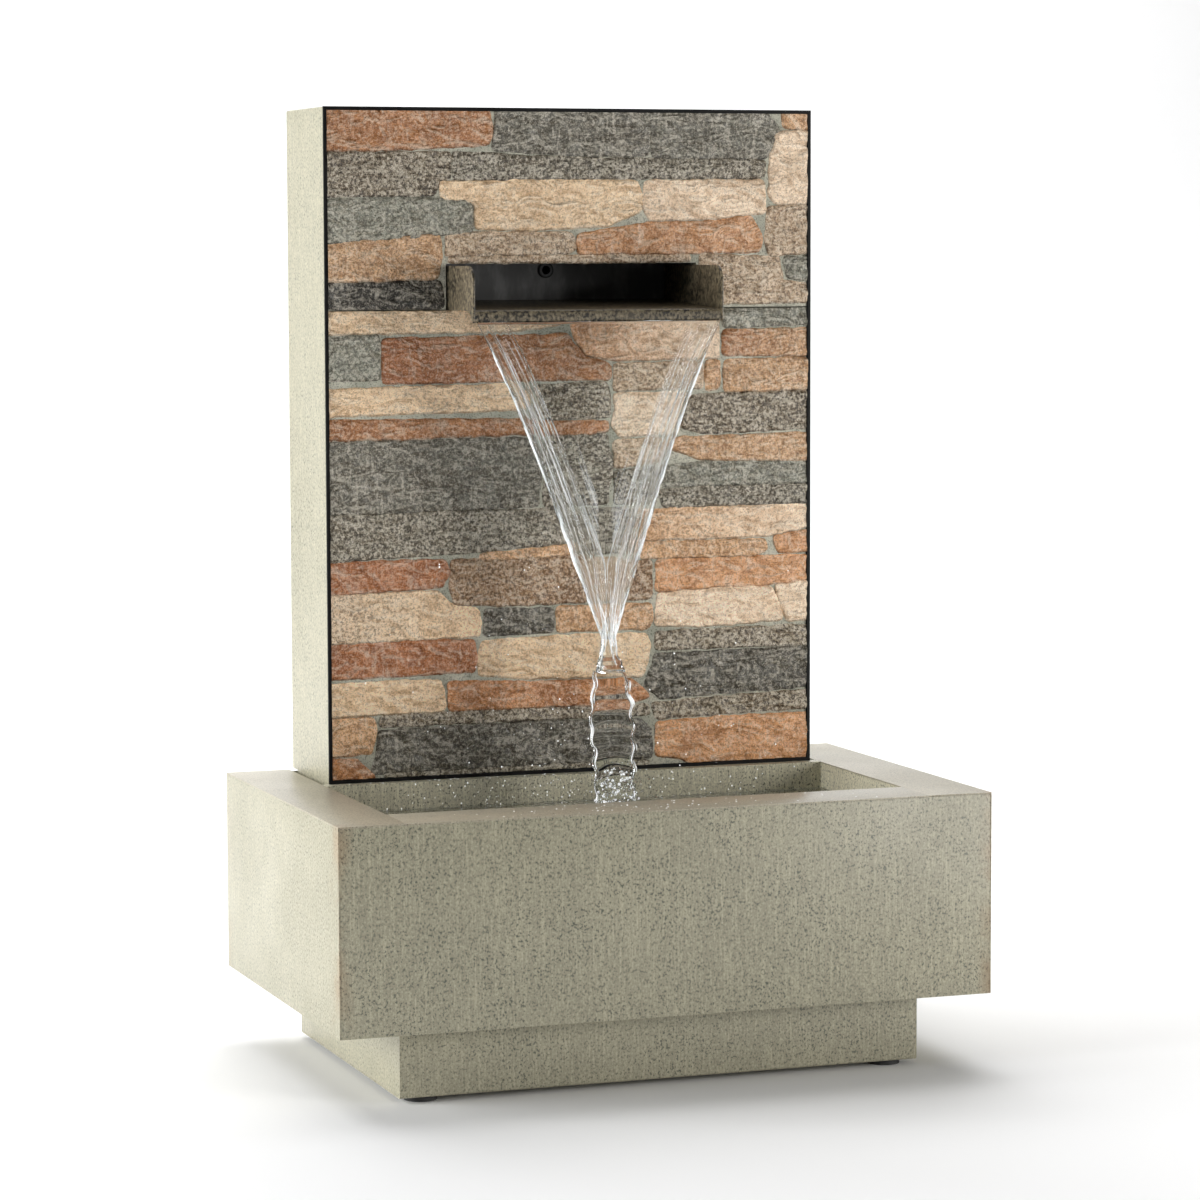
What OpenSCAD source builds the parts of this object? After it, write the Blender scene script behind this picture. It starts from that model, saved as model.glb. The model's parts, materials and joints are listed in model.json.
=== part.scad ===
// Table fountain: a sheet-steel basin on a set-back plinth, with a stone-faced tower standing in
// the rear of the basin. A pump under the tower lifts water to a weir box, and a wide spout
// spills it back into the pool. +Z is up, +X is to the right, and the front faces -Y.

/* [Basin] */
// Width of the basin
basin_w = 500; // [460:1:560]
// Depth of the basin, front to back
basin_d = 310; // [300:1:340]
// Height of the basin
basin_h = 150; // [140:1:200]
// Width of the flat rim strips
rim_w = 50; // [46:1:60]
// Distance from the basin's front face to the back edge of the pool
pool_back = 205; // [195:1:208]
// Height of the tank's floor above the basin's floor
tank_lift = 10; // [8:1:14]
// Depth of the ledge in front of the tile
ledge_d = 10; // [6:1:14]

/* [Plinth] */
// Height of the plinth
plinth_h = 50; // [40:1:60]
// Width of the plinth
plinth_w = 400; // [380:1:440]
// Depth of the plinth
plinth_d = 260; // [240:1:280]
// Distance from the basin's front face back to the plinth's front face
plinth_setback = 22; // [16:1:24]
// Width of the plinth's folded flanges
plinth_flange = 30; // [26:1:40]
// Thickness of the rubber foot pads
foot_t = 4; // [3:1:5]
// Radius of the rubber foot pads
foot_r = 12; // [8:1:12]

/* [Tower] */
// Width of the tower
tower_w = 390; // [380:1:390]
// Height of the tower above the rim
tower_h = 505; // [480:1:540]
// How far the tower's sides reach down into the basin
tower_drop = 54; // [50:1:80]
// How far the tower's back stands proud of the basin's back wall
tower_overhang = 8; // [6:0.5:9]
// Thickness of the folded sheet
sheet_t = 1.2; // [1:0.1:1.4]

/* [Tile face] */
// Thickness of the stone-look tile
tile_t = 8; // [6:0.5:9]
// Width of the black trim around the tile
trim_w = 2.5; // [2:0.1:4]
// Thickness of the board behind the tile
board_t = 3; // [2:0.5:4]
// Height above the rim of the joint between the two tiles
tile_joint_z = 354; // [340:1:355]
// Gap between the two tiles
grout = 0.8; // [0.6:0.1:1.5]

/* [Spout] */
// Width of the spout
spout_w = 198; // [180:1:220]
// Height of the spout's underside above the rim
spout_z = 354; // [350:1:360]
// Height of the spout's cheeks
cheek_h = 33; // [30:1:36]
// How far the spout stands out in front of the tile
spout_reach = 60; // [50:1:70]
// How far the nose turns down
nose_drop = 9; // [6:1:12]
// Length of the turned-down nose
nose_len = 10; // [8:1:14]
// Radius of the cheeks' front corners
cheek_r = 12; // [8:1:14]
// Rise of the spout's floor towards the back
floor_rise = 5; // [3:0.5:6]
// Gap between the tile's notch and the spout
notch_gap = 1.5; // [1:0.1:2]

/* [Water circuit] */
// Outer radius of the hose
hose_r = 6; // [5.5:0.1:6.5]
// Inner radius of the hose
hose_bore = 4; // [3.6:0.1:4.2]
// Radius of the centreline at the hose's two bends
hose_bend = 80; // [70:1:90]
// Depth of the weir box behind the backing board
weir_d = 54; // [46:1:56]
// Distance from the weir box's ceiling down to the inlet's axis
inlet_down = 8; // [7.5:0.1:9]

/* [Pump] */
// Height of the pump's axis above the tank's floor
pump_axis = 31; // [30:1:36]
// Distance from the partition back to the pump's axis
pump_y = 58; // [54:1:60]
// Radius of the pump's shaft
shaft_r = 1.5; // [1.2:0.1:2]
// Radial running clearance on the shaft
shaft_fit = 0.05; // [0.02:0.01:0.09]
// Number of impeller blades
blades = 6; // [4:1:8]

/* [Hidden] */
$fn = 48;

t = sheet_t;
steel = [0.50, 0.49, 0.43];
steel_light = [0.78, 0.76, 0.70];
stone = [0.62, 0.50, 0.40];
black = [0.06, 0.06, 0.06];
plastic = [0.10, 0.11, 0.12];
rubber_col = [0.14, 0.14, 0.14];
bare_metal = [0.72, 0.73, 0.75];

// Heights
plinth_z = foot_t;
basin_z = plinth_z + plinth_h;
rim_z = basin_z + basin_h;
tank_z = basin_z + t + tank_lift;
top_z = rim_z + tower_h;

// Depths: the box of the whole object is centred on Y = 0
cover_sink = 0.8;
head_h = 2.4;
front_y = -(basin_d + tower_overhang + head_h - cover_sink) / 2;
back_y = front_y + basin_d;
tower_back = back_y + tower_overhang;
pool_y = front_y + pool_back;
tile_y = pool_y + ledge_d;
board_y = tile_y + tile_t;
cover_y = tower_back - cover_sink - t;
plinth_y = front_y + plinth_setback;
plinth_y2 = plinth_y + plinth_d;

// Widths
hw = basin_w / 2;
pw = plinth_w / 2;
tw = tower_w / 2;
pool_hw = hw - rim_w;
tile_hw = tw - trim_w - 0.3;
side_gap = pool_hw - tw;

// Bolts between the plinth and the basin's floor
plinth_bolt_pitch = 130;

// Basin details
floor_lip = tank_lift - 1;
front_tank_y = front_y + rim_w;
tank_back = back_y - 2;
slot_w = 22;
slot_h = 10;
slots = 6;
slot_pitch = 60;

// Tower details
frame_front = 2;
frame_depth = 13;
back_flange = 16;
cover_gap = 0.2;
screw_r = 2;
screw_head_r = 4;
screw_rows = 4;
bracket_h = 40;
bracket_y = tile_y + 20;
bracket_d = 60;
bolt_r = 3;
bolt_head_r = 5.5;
bolt_head_h = 3.5;

// Spout and weir box
sz = rim_z + spout_z;
sh = spout_w / 2;
nose_y = tile_y - spout_reach;
weir_y = board_y + board_t;
weir_back = weir_y + weir_d;
weir_flange = 10;
ceiling_z = sz + cheek_h + 4;
inlet_z = ceiling_z - inlet_down;
grommet_r = 6;
grommet_lip = 1.2;
elbow_r = 5;

// Pump: its axis runs along X
pz = tank_z + pump_axis;
py = pool_y + pump_y;
volute_r = 19;
volute_x = 9;
volute_wall = 4;
body_len = 50;
body_d = 44;
body_h = 46;
body_corner = 6;
well_r = 8.6;
well_end = 44;
magnet_r = 7.8;
magnet_len = 33;
impeller_r = 12.5;
hub_r = 4.5;
bush_r = 3.4;
cup_h = pump_axis - body_h / 2;
barb_r = hose_bore;
barb_top = pz + volute_r + 26;
cover_len = 18;
intake_r = 16;
dial_r = 10;
dial_t = 2.5;
dial_stem_r = 2;

// Hose route: straight up from the pump, one S-bend back, straight up to the elbow
elbow_y = weir_back + 16;
hose_shift = elbow_y - py;
hose_turn = acos(1 - hose_shift / (2 * hose_bend));
hose_rise = 2 * hose_bend * sin(hose_turn);
hose_steps = 8;
hose_sides = 16;
hose_z0 = barb_top - 18;
hose_bend_z = rim_z + 180;
elbow_tail = 26;
hose_z1 = inlet_z - elbow_tail + 16;

// Cable grommet in the back cover
cable_x = 120;
cable_z = rim_z + 40;
cable_r = 3.5;
cable_hole_r = 6;

// A box given by its low and high corners
module slab(a, b) {
    translate(a) cube([b[0] - a[0], b[1] - a[1], b[2] - a[2]]);
}

// Cylinder along +X starting at p
module rod_x(p, r, h) {
    translate(p) rotate([0, 90, 0]) cylinder(r = r, h = h);
}

// Cylinder along +Y starting at p
module rod_y(p, r, h) {
    translate(p) rotate([-90, 0, 0]) cylinder(r = r, h = h);
}

// Tube along +Z starting at p
module tube_z(p, r, bore, h) {
    translate(p) difference() {
        cylinder(r = r, h = h);
        translate([0, 0, -1]) cylinder(r = bore, h = h + 2);
    }
}

// Button-head screw along +Y: the head's underside is at p and the shank runs on behind it
module screw_back(p, shank) {
    rod_y([p[0], p[1] - shank, p[2]], screw_r, shank + head_h / 2);
    rod_y(p, screw_head_r, head_h);
}

// Rectangle with round corners, centred
module round_rect(w, h, r) {
    square([w - 2 * r, h], center = true);
    square([w, h - 2 * r], center = true);
    for (x = [-1, 1], y = [-1, 1])
        translate([x * (w / 2 - r), y * (h / 2 - r)]) circle(r = r);
}

// ---- Plinth ----

// A folded channel along X: web at y0 facing -Y, flanges turned inwards
module plinth_channel(y0, inward) {
    web = inward > 0 ? y0 : y0 - t;
    fl = inward > 0 ? y0 : y0 - plinth_flange;
    difference() {
        union() {
            slab([-pw, web, plinth_z], [pw, web + t, basin_z]);
            for (z = [plinth_z, basin_z - t])
                slab([-pw, fl, z], [pw, fl + plinth_flange, z + t]);
        }
        for (x = [-1, 1]) translate([x * foot_x(), foot_y(inward), plinth_z - 1])
            cylinder(r = screw_r, h = t + 2);
        for (x = [-1, 0, 1])
            translate([x * plinth_bolt_pitch, foot_y(inward), basin_z - t - 1])
                cylinder(r = bolt_r, h = t + 2);
    }
}

function foot_x() = pw - 20;
function foot_y(inward) = inward > 0 ? plinth_y + 16 : plinth_y2 - 16;

module plinth_front() { color(steel) plinth_channel(plinth_y, 1); }
module plinth_back() { color(steel) plinth_channel(plinth_y2, -1); }

// End channel between the front and back channels
module plinth_end(side) {
    y0 = plinth_y + plinth_flange;
    y1 = plinth_y2 - plinth_flange;
    x_out = side * pw;
    x_web = side * (pw - t);
    x_in = side * (pw - plinth_flange);
    slab([min(x_out, x_web), plinth_y + t, plinth_z + t],
         [max(x_out, x_web), plinth_y2 - t, basin_z - t]);
    for (z = [plinth_z, basin_z - t])
        slab([min(x_out, x_in), y0, z], [max(x_out, x_in), y1, z + t]);
}

module plinth_left() { color(steel) plinth_end(-1); }
module plinth_right() { color(steel) plinth_end(1); }

// Bolts from the plinth's top flanges up into the basin's floor, with nuts
module plinth_bolts() {
    color(bare_metal)
    for (x = [-1, 0, 1], inward = [-1, 1])
        translate([x * plinth_bolt_pitch, foot_y(inward), basin_z - t - bolt_head_h]) {
            cylinder(r = bolt_head_r, h = bolt_head_h);
            cylinder(r = bolt_r, h = bolt_head_h + 2 * t + 6);
            translate([0, 0, bolt_head_h + 2 * t]) cylinder(r = bolt_head_r, h = 5, $fn = 6);
        }
}

module foot_pads() {
    color(rubber_col)
    for (x = [-1, 1], inward = [-1, 1])
        translate([x * foot_x(), foot_y(inward), 0]) difference() {
            cylinder(r = foot_r, h = foot_t);
            translate([0, 0, -1]) cylinder(r = screw_head_r + 0.5, h = 2.6);
            cylinder(r = screw_r, h = foot_t + 1);
        }
}

module foot_screws() {
    color(bare_metal)
    for (x = [-1, 1], inward = [-1, 1])
        translate([x * foot_x(), foot_y(inward), 0.4]) {
            cylinder(r = screw_head_r, h = 1.2);
            cylinder(r = screw_r, h = foot_t + t + 6);
        }
}

// ---- Basin ----

// Floor pan with an upturned lip inside the walls
module basin_floor() {
    color(steel)
    difference() {
        slab([-hw + t, front_y + t, basin_z], [hw - t, back_y - t, basin_z + floor_lip]);
        slab([-hw + 2 * t, front_y + 2 * t, basin_z + t],
             [hw - 2 * t, back_y - 2 * t, basin_z + floor_lip + 1]);
        for (x = [-1, 0, 1], inward = [-1, 1])
            translate([x * plinth_bolt_pitch, foot_y(inward), basin_z - 1])
                cylinder(r = bolt_r, h = t + 2);
    }
}

module basin_front_wall() {
    color(steel)
    slab([-hw + t, front_y, basin_z], [hw - t, front_y + t, rim_z - t]);
}

module basin_back_wall() {
    color(steel)
    slab([-hw + t, back_y - t, basin_z], [hw - t, back_y, rim_z - t]);
}

module basin_side(side) {
    x0 = side > 0 ? hw - t : -hw;
    slab([x0, front_y, basin_z], [x0 + t, back_y, rim_z - t]);
}

module basin_left_wall() { color(steel_light) basin_side(-1); }
module basin_right_wall() { color(steel) basin_side(1); }

module rim_front() {
    color(steel_light)
    slab([-pool_hw, front_y, rim_z - t], [pool_hw, front_tank_y, rim_z]);
}

module rim_side(side) {
    x0 = side > 0 ? pool_hw : -hw;
    slab([x0, front_y, rim_z - t], [x0 + rim_w, back_y, rim_z]);
}

module rim_left() { color(steel_light) rim_side(-1); }
module rim_right() { color(steel_light) rim_side(1); }

// ---- Tank ----

// Front wall, floor and back wall folded from one sheet
module tank_trough() {
    color(steel)
    difference() {
        slab([-pool_hw, front_tank_y - t, tank_z - t], [pool_hw, tank_back, rim_z - t]);
        slab([-pool_hw - 1, front_tank_y, tank_z], [pool_hw + 1, tank_back - t, rim_z]);
    }
}

module tank_end(side) {
    x0 = side > 0 ? pool_hw : -pool_hw - t;
    difference() {
        slab([x0, front_tank_y - t, tank_z - t], [x0 + t, tank_back, rim_z - t]);
        for (dy = [-1, 1])
            rod_x([x0 - 1, bracket_y + bracket_d / 2 + dy * bracket_d / 3, bracket_z()],
                  bolt_r, t + 2);
    }
}

module tank_left_end() { color(steel) tank_end(-1); }
module tank_right_end() { color(steel) tank_end(1); }

// Two hat-section bars that carry the tank above the basin's floor
module tank_supports() {
    bar_d = 40;
    color(steel)
    for (y = [front_tank_y + 30, tank_back - 90])
        difference() {
            slab([-pool_hw, y, basin_z + t], [pool_hw, y + bar_d, tank_z - t]);
            slab([-pool_hw - 1, y + t, basin_z], [pool_hw + 1, y + bar_d - t, tank_z - 2 * t]);
        }
}

// Wall between the pool and the pump chamber, with flow slots below and a ledge above
module pump_partition() {
    part_hw = pool_hw - 0.2;
    color(steel)
    difference() {
        union() {
            slab([-part_hw, pool_y, tank_z], [part_hw, pool_y + t, rim_z]);
            slab([-part_hw, pool_y, rim_z - t], [part_hw, tile_y + frame_front, rim_z]);
        }
        for (i = [0 : slots - 1])
            translate([(i - (slots - 1) / 2) * slot_pitch - slot_w / 2, pool_y - 1, tank_z + 6])
                cube([slot_w, t + 2, slot_h]);
    }
}

// ---- Tower ----

function bracket_z() = rim_z - tower_drop + bracket_h / 2 + 2;

// Folded shell: two sides and a top, with return flanges for the back cover
module tower_shell() {
    side_front = tile_y + frame_front;
    color(steel_light)
    difference() {
        union() {
            for (side = [-1, 1]) {
                x0 = side > 0 ? tw - t : -tw;
                slab([x0, side_front, rim_z], [x0 + t, tower_back, top_z]);
                slab([x0, side_front, rim_z - tower_drop],
                     [x0 + t, tank_back - t - 1, rim_z]);
                xf = side > 0 ? tw - back_flange : -tw;
                slab([xf, cover_y - t, rim_z + 2], [xf + back_flange, cover_y, top_z]);
            }
            slab([-tw, side_front, top_z - t], [tw, tower_back, top_z]);
            slab([-tw, cover_y - t, top_z - back_flange], [tw, cover_y, top_z]);
        }
        for (side = [-1, 1], dy = [-1, 1])
            rod_x([side * tw - t - 1, bracket_y + bracket_d / 2 + dy * bracket_d / 3,
                   bracket_z()], bolt_r, 2 * t + 2);
        for (side = [-1, 1], i = [0 : screw_rows - 1])
            rod_y([side * screw_x(), cover_y - t - 1, screw_z(i)], screw_r, t + 2);
    }
}

function screw_x() = tw - t - back_flange / 2;
function screw_z(i) = rim_z + 20 + i * (tower_h - 40) / (screw_rows - 1);

module tower_back_cover() {
    cover_hw = tw - t - cover_gap;
    color(steel_light)
    difference() {
        slab([-cover_hw, cover_y, rim_z + 0.6], [cover_hw, cover_y + t, top_z - t - cover_gap]);
        for (side = [-1, 1], i = [0 : screw_rows - 1])
            rod_y([side * screw_x(), cover_y - 1, screw_z(i)], screw_r, t + 2);
        rod_y([cable_x, cover_y - 1, cable_z], cable_hole_r, t + 2);
    }
}

module cover_screws() {
    color(bare_metal)
    for (side = [-1, 1], i = [0 : screw_rows - 1])
        screw_back([side * screw_x(), cover_y + t, screw_z(i)], 8);
}

// Spacer bars between the tower's sides and the tank's end walls
module tower_brackets() {
    color(bare_metal)
    for (side = [-1, 1]) {
        x0 = side > 0 ? tw : -tw - side_gap;
        difference() {
            slab([x0, bracket_y, bracket_z() - bracket_h / 2],
                 [x0 + side_gap, bracket_y + bracket_d, bracket_z() + bracket_h / 2]);
            for (dy = [-1, 1])
                rod_x([x0 - 1, bracket_y + bracket_d / 2 + dy * bracket_d / 3, bracket_z()],
                      bolt_r, side_gap + 2);
        }
    }
}

// Bolts through shell, spacer and tank wall, with hexagon nuts outside the tank
module tower_bolts() {
    color(bare_metal)
    for (side = [-1, 1], dy = [-1, 1])
        translate([side * (tw - t), bracket_y + bracket_d / 2 + dy * bracket_d / 3,
                   bracket_z()])
            rotate([0, side * 90, 0]) {
                translate([0, 0, -bolt_head_h]) cylinder(r = bolt_head_r, h = bolt_head_h);
                cylinder(r = bolt_r, h = 2 * t + side_gap + 7);
                translate([0, 0, 2 * t + side_gap])
                    cylinder(r = bolt_head_r, h = 5, $fn = 6);
            }
}

// ---- Tile face ----

// A ring of thickness from y0 to y1, between an outer half width and an inner one
module ring_y(y0, y1, outer, inner, z_lo, z_hi, wall_lo, wall_hi) {
    difference() {
        slab([-outer, y0, z_lo], [outer, y1, z_hi]);
        slab([-inner, y0 - 1, z_lo + wall_lo], [inner, y1 + 1, z_hi - wall_hi]);
    }
}

// Black trim: a front bead, a rim that nests inside the shell and a shelf for the board
module tile_frame() {
    nest = tw - t;
    color(black) {
        ring_y(tile_y, tile_y + frame_front, tw, tw - trim_w, rim_z, top_z, trim_w, trim_w);
        ring_y(tile_y + frame_front, tile_y + frame_depth, nest, tw - trim_w,
               rim_z, top_z - t, trim_w, trim_w - t);
        ring_y(weir_y, tile_y + frame_depth, nest, nest - 12, rim_z, top_z - t, 12, 12);
    }
}

module backer_board() {
    board_hw = tile_hw;
    color([0.55, 0.52, 0.48])
    difference() {
        slab([-board_hw, board_y, rim_z + trim_w], [board_hw, weir_y, top_z - trim_w]);
        slab([-sh, board_y - 1, sz - notch_gap], [sh, weir_y + 1, sz + cheek_h + notch_gap]);
        for (x = [-1, 1], z = [-1, 1])
            rod_y([x * weir_screw_x(), board_y - 1, weir_mid() + z * weir_screw_dz()],
                  screw_r, board_t + 2);
    }
}

// Upper tile, notched along its lower edge for the spout
module tile_upper() {
    color(stone)
    difference() {
        slab([-tile_hw, tile_y, rim_z + tile_joint_z + grout / 2],
             [tile_hw, board_y, top_z - trim_w - 0.3]);
        slab([-sh - notch_gap, tile_y - 1, rim_z + tile_joint_z],
             [sh + notch_gap, board_y + 1, sz + cheek_h + notch_gap]);
    }
}

module tile_lower() {
    color(stone)
    slab([-tile_hw, tile_y, rim_z + trim_w + 0.3],
         [tile_hw, board_y, rim_z + tile_joint_z - grout / 2]);
}

// ---- Spout, weir box and inlet ----

function weir_mid() = (sz + ceiling_z) / 2 - 3;
function weir_screw_dz() = (ceiling_z - sz) / 2 + 11;
function weir_screw_x() = sh - 20;

// Outline of a cheek seen from the side: [depth, height]
module cheek_outline(back) {
    top = sz + cheek_h;
    difference() {
        union() {
            translate([nose_y + cheek_r, sz]) square([back - nose_y - cheek_r, cheek_h]);
            translate([nose_y, sz]) square([cheek_r + 1, cheek_h - cheek_r]);
            translate([nose_y + cheek_r, top - cheek_r]) circle(r = cheek_r);
        }
        translate([nose_y - 1, sz - cheek_r]) square([back - nose_y + 2, cheek_r]);
    }
    polygon([[nose_y, sz - nose_drop], [nose_y + nose_len, sz], [nose_y + nose_len, sz + 1],
             [nose_y, sz + 1]]);
}

// Folded spout: sloping floor, turned-down nose and two cheeks
module spout_chute() {
    back = weir_back - t - 1;
    color(steel) {
        for (side = [-1, 1])
            translate([side > 0 ? sh - t : -sh, 0, 0])
                rotate([90, 0, 90]) linear_extrude(t) cheek_outline(back);
        translate([-sh + t, 0, 0]) rotate([90, 0, 90]) linear_extrude(spout_w - 2 * t)
            polygon([[nose_y, sz - nose_drop], [nose_y + nose_len, sz], [back, sz + floor_rise],
                     [back, sz + floor_rise + t], [nose_y + nose_len, sz + t],
                     [nose_y, sz - nose_drop + t]]);
    }
}

// Box behind the spout, open at the front, with a flange screwed to the backing board
module weir_box() {
    box_hw = sh;
    z0 = sz;
    gap = 0.4;
    color(black)
    difference() {
        union() {
            slab([-box_hw - t, weir_y, z0 - t], [box_hw + t, weir_back, ceiling_z + t]);
            slab([-box_hw - t, weir_y, weir_mid() - weir_screw_dz() - weir_flange],
                 [box_hw + t, weir_y + t, weir_mid() + weir_screw_dz() + weir_flange]);
        }
        slab([-box_hw, weir_y - 1, z0], [box_hw, weir_back - t, ceiling_z]);
        rod_y([0, weir_back - t - 1, inlet_z], elbow_r + gap, t + 2);
        for (x = [-1, 1], z = [-1, 1])
            rod_y([x * weir_screw_x(), weir_y - 1, weir_mid() + z * weir_screw_dz()],
                  screw_r, t + 2);
    }
}

module weir_screws() {
    color(bare_metal)
    for (x = [-1, 1], z = [-1, 1])
        screw_back([x * weir_screw_x(), weir_y + t, weir_mid() + z * weir_screw_dz()],
                   board_t + t);
}

// Rubber ring with a lip on both sides of the weir box's back wall
module inlet_grommet() {
    gap = 0.4;
    color(rubber_col)
    translate([0, weir_back - t - grommet_lip, inlet_z]) rotate([-90, 0, 0])
        rotate_extrude() polygon([
            [elbow_r, 0], [grommet_r, 0], [grommet_r, grommet_lip], [elbow_r + gap, grommet_lip],
            [elbow_r + gap, grommet_lip + t], [grommet_r + 2, grommet_lip + t],
            [grommet_r + 2, 2 * grommet_lip + t], [elbow_r, 2 * grommet_lip + t]]);
}

// Moulded elbow: level through the grommet, then down into the hose
module inlet_elbow() {
    start = weir_back - t - grommet_lip;
    bore = elbow_r - 1.6;
    color(plastic)
    difference() {
        union() {
            rod_y([0, start, inlet_z], elbow_r, elbow_y - start);
            translate([0, elbow_y, inlet_z]) sphere(r = elbow_r);
            translate([0, elbow_y, inlet_z - elbow_tail]) cylinder(r = barb_r, h = elbow_tail);
            translate([0, elbow_y, inlet_z - 9]) cylinder(r = elbow_r, h = 9);
        }
        rod_y([0, start - 1, inlet_z], bore, elbow_y - start + 1);
        translate([0, elbow_y, inlet_z]) sphere(r = bore);
        translate([0, elbow_y, inlet_z - elbow_tail - 1])
            cylinder(r = bore - 1, h = elbow_tail + 1);
    }
}

// Stations along the hose in the YZ plane: [y, z, lean towards +Y]
function hose_stations() = concat(
    [[py, hose_z0, 0]],
    [for (i = [0 : hose_steps]) let (a = hose_turn * i / hose_steps)
        [py + hose_bend * (1 - cos(a)), hose_bend_z + hose_bend * sin(a), a]],
    [for (i = [1 : hose_steps]) let (a = hose_turn * (1 - i / hose_steps))
        [elbow_y - hose_bend * (1 - cos(a)), hose_bend_z + hose_rise - hose_bend * sin(a), a]],
    [[elbow_y, hose_z1, 0]]);

// One ring of points of radius r round a station
function hose_ring(s, r) = [for (i = [0 : hose_sides - 1]) let (f = 360 * i / hose_sides)
    [r * sin(f), s[0] + r * cos(f) * cos(s[2]), s[1] - r * cos(f) * sin(s[2])]];

// Hollow tube swept along the stations
module hose() {
    st = hose_stations();
    n = hose_sides;
    last = len(st) - 1;
    inner = n * len(st);
    bore = hose_bore / cos(180 / n);
    points = concat([for (s = st) each hose_ring(s, hose_r)],
                    [for (s = st) each hose_ring(s, bore)]);
    outer_faces = [for (k = [0 : last - 1], i = [0 : n - 1]) let (j = (i + 1) % n)
        [k * n + i, (k + 1) * n + i, (k + 1) * n + j, k * n + j]];
    inner_faces = [for (k = [0 : last - 1], i = [0 : n - 1]) let (j = (i + 1) % n)
        [inner + k * n + i, inner + k * n + j, inner + (k + 1) * n + j, inner + (k + 1) * n + i]];
    low_faces = [for (i = [0 : n - 1]) let (j = (i + 1) % n) [i, j, inner + j, inner + i]];
    high_faces = [for (i = [0 : n - 1]) let (j = (i + 1) % n)
        [last * n + j, last * n + i, inner + last * n + i, inner + last * n + j]];
    color(plastic)
    polyhedron(points, concat(outer_faces, inner_faces, low_faces, high_faces));
}

// Worm-drive band clamps at both ends of the hose
module hose_clamps() {
    band_h = 8;
    band_t = 0.8;
    color(bare_metal)
    for (p = [[py, hose_z0 + 5], [elbow_y, hose_z1 - 5 - band_h]])
        translate([0, p[0], p[1]]) {
            tube_z([0, 0, 0], hose_r + band_t, hose_r, band_h);
            difference() {
                translate([hose_r + band_t / 2, -5, 0]) cube([6, 10, band_h]);
                translate([0, 0, -1]) cylinder(r = hose_r + band_t / 2, h = band_h + 2);
            }
        }
}

// ---- Pump ----

// Sealed motor block with a blind well for the rotor
module pump_body() {
    color(plastic)
    difference() {
        translate([volute_x, py, pz]) rotate([90, 0, 90])
            linear_extrude(body_len) round_rect(body_d, body_h, body_corner);
        rod_x([volute_x - 1, py, pz], well_r, well_end - volute_x + 1);
        rod_x([well_end - 1, py, pz], bush_r, 6);
        rod_x([volute_x + body_len - 8, py + 8, pz + 8], 3.5, 9);
    }
}

// Impeller housing with eyes for the water and an upright outlet
module pump_volute() {
    chamber_r = 15;
    outlet_bore = barb_r - 1.2;
    color(plastic)
    difference() {
        union() {
            rod_x([-volute_x, py, pz], volute_r, 2 * volute_x);
            translate([0, py, pz]) cylinder(r = barb_r, h = barb_top - pz);
            translate([0, py, pz]) cylinder(r = 6.5, h = volute_r + 6);
        }
        rod_x([-volute_x + volute_wall, py, pz], chamber_r, 2 * volute_x);
        translate([0, py, pz]) cylinder(r = outlet_bore, h = barb_top - pz + 1);
        rod_x([-volute_x + 1.2, py, pz], bush_r, volute_wall);
        for (a = [45 : 90 : 315])
            rod_x([-volute_x - 1, py + 9 * cos(a), pz + 9 * sin(a)], 3, volute_wall + 2);
    }
}

// Strainer cap over the volute's eyes, slotted all round
module pump_intake_cover() {
    x0 = -volute_x - cover_len;
    slit_w = 2.2;
    color(plastic)
    difference() {
        rod_x([x0, py, pz], intake_r, cover_len);
        rod_x([x0 + 2.4, py, pz], intake_r - 2, cover_len);
        for (a = [0 : 30 : 150])
            translate([x0 + 5, py, pz]) rotate([a, 0, 0])
                translate([0, -intake_r - 1, -slit_w / 2]) cube([9, 2 * intake_r + 2, slit_w]);
        rod_x([x0 - 1, py, pz], dial_stem_r + shaft_fit, 5);
        for (a = [60, 180, 300])
            rod_x([x0 - 1, py + 6 * cos(a), pz + 6 * sin(a)], 2, 5);
    }
}

// Flow regulator: a disc with a finger tab, turning on a stem in the strainer cap
module flow_dial() {
    x0 = -volute_x - cover_len;
    color([0.25, 0.26, 0.27])
    difference() {
        union() {
            rod_x([x0 - 0.3 - dial_t, py, pz], dial_r, dial_t);
            rod_x([x0 - 0.5 - dial_t / 2, py, pz], dial_stem_r, dial_t / 2 + 3.4);
            rod_x([x0 + 2.7, py, pz], dial_stem_r + 1.2, 1.4);
            translate([x0 - 0.3 - dial_t, py - 2, pz + dial_r - 1]) cube([dial_t, 4, 6]);
        }
        for (a = [60, 180, 300])
            rod_x([x0 - 4, py + 6 * cos(a), pz + 6 * sin(a)], 1.9, dial_t + 3);
    }
}

// Impeller: hub and straight blades on the front of the magnet
module impeller() {
    x0 = -volute_x + volute_wall + 0.8;
    color([0.85, 0.85, 0.82])
    difference() {
        union() {
            rod_x([x0, py, pz], hub_r, volute_x - x0 - 0.5);
            for (i = [0 : blades - 1])
                translate([x0, py, pz]) rotate([i * 360 / blades, 0, 0])
                    translate([0, 0, -0.7]) cube([9, impeller_r, 1.4]);
        }
        rod_x([x0 - 1, py, pz], shaft_r + shaft_fit, 2 * volute_x + 4);
    }
}

module rotor_magnet() {
    x0 = volute_x - 0.5;
    color([0.20, 0.20, 0.21])
    difference() {
        rod_x([x0, py, pz], magnet_r, magnet_len);
        rod_x([x0 - 1, py, pz], shaft_r + shaft_fit, magnet_len + 2);
    }
}

module impeller_shaft() {
    color([0.93, 0.93, 0.90])
    rod_x([-volute_x + 1.4, py, pz], shaft_r, well_end + volute_x + 3);
}

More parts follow.
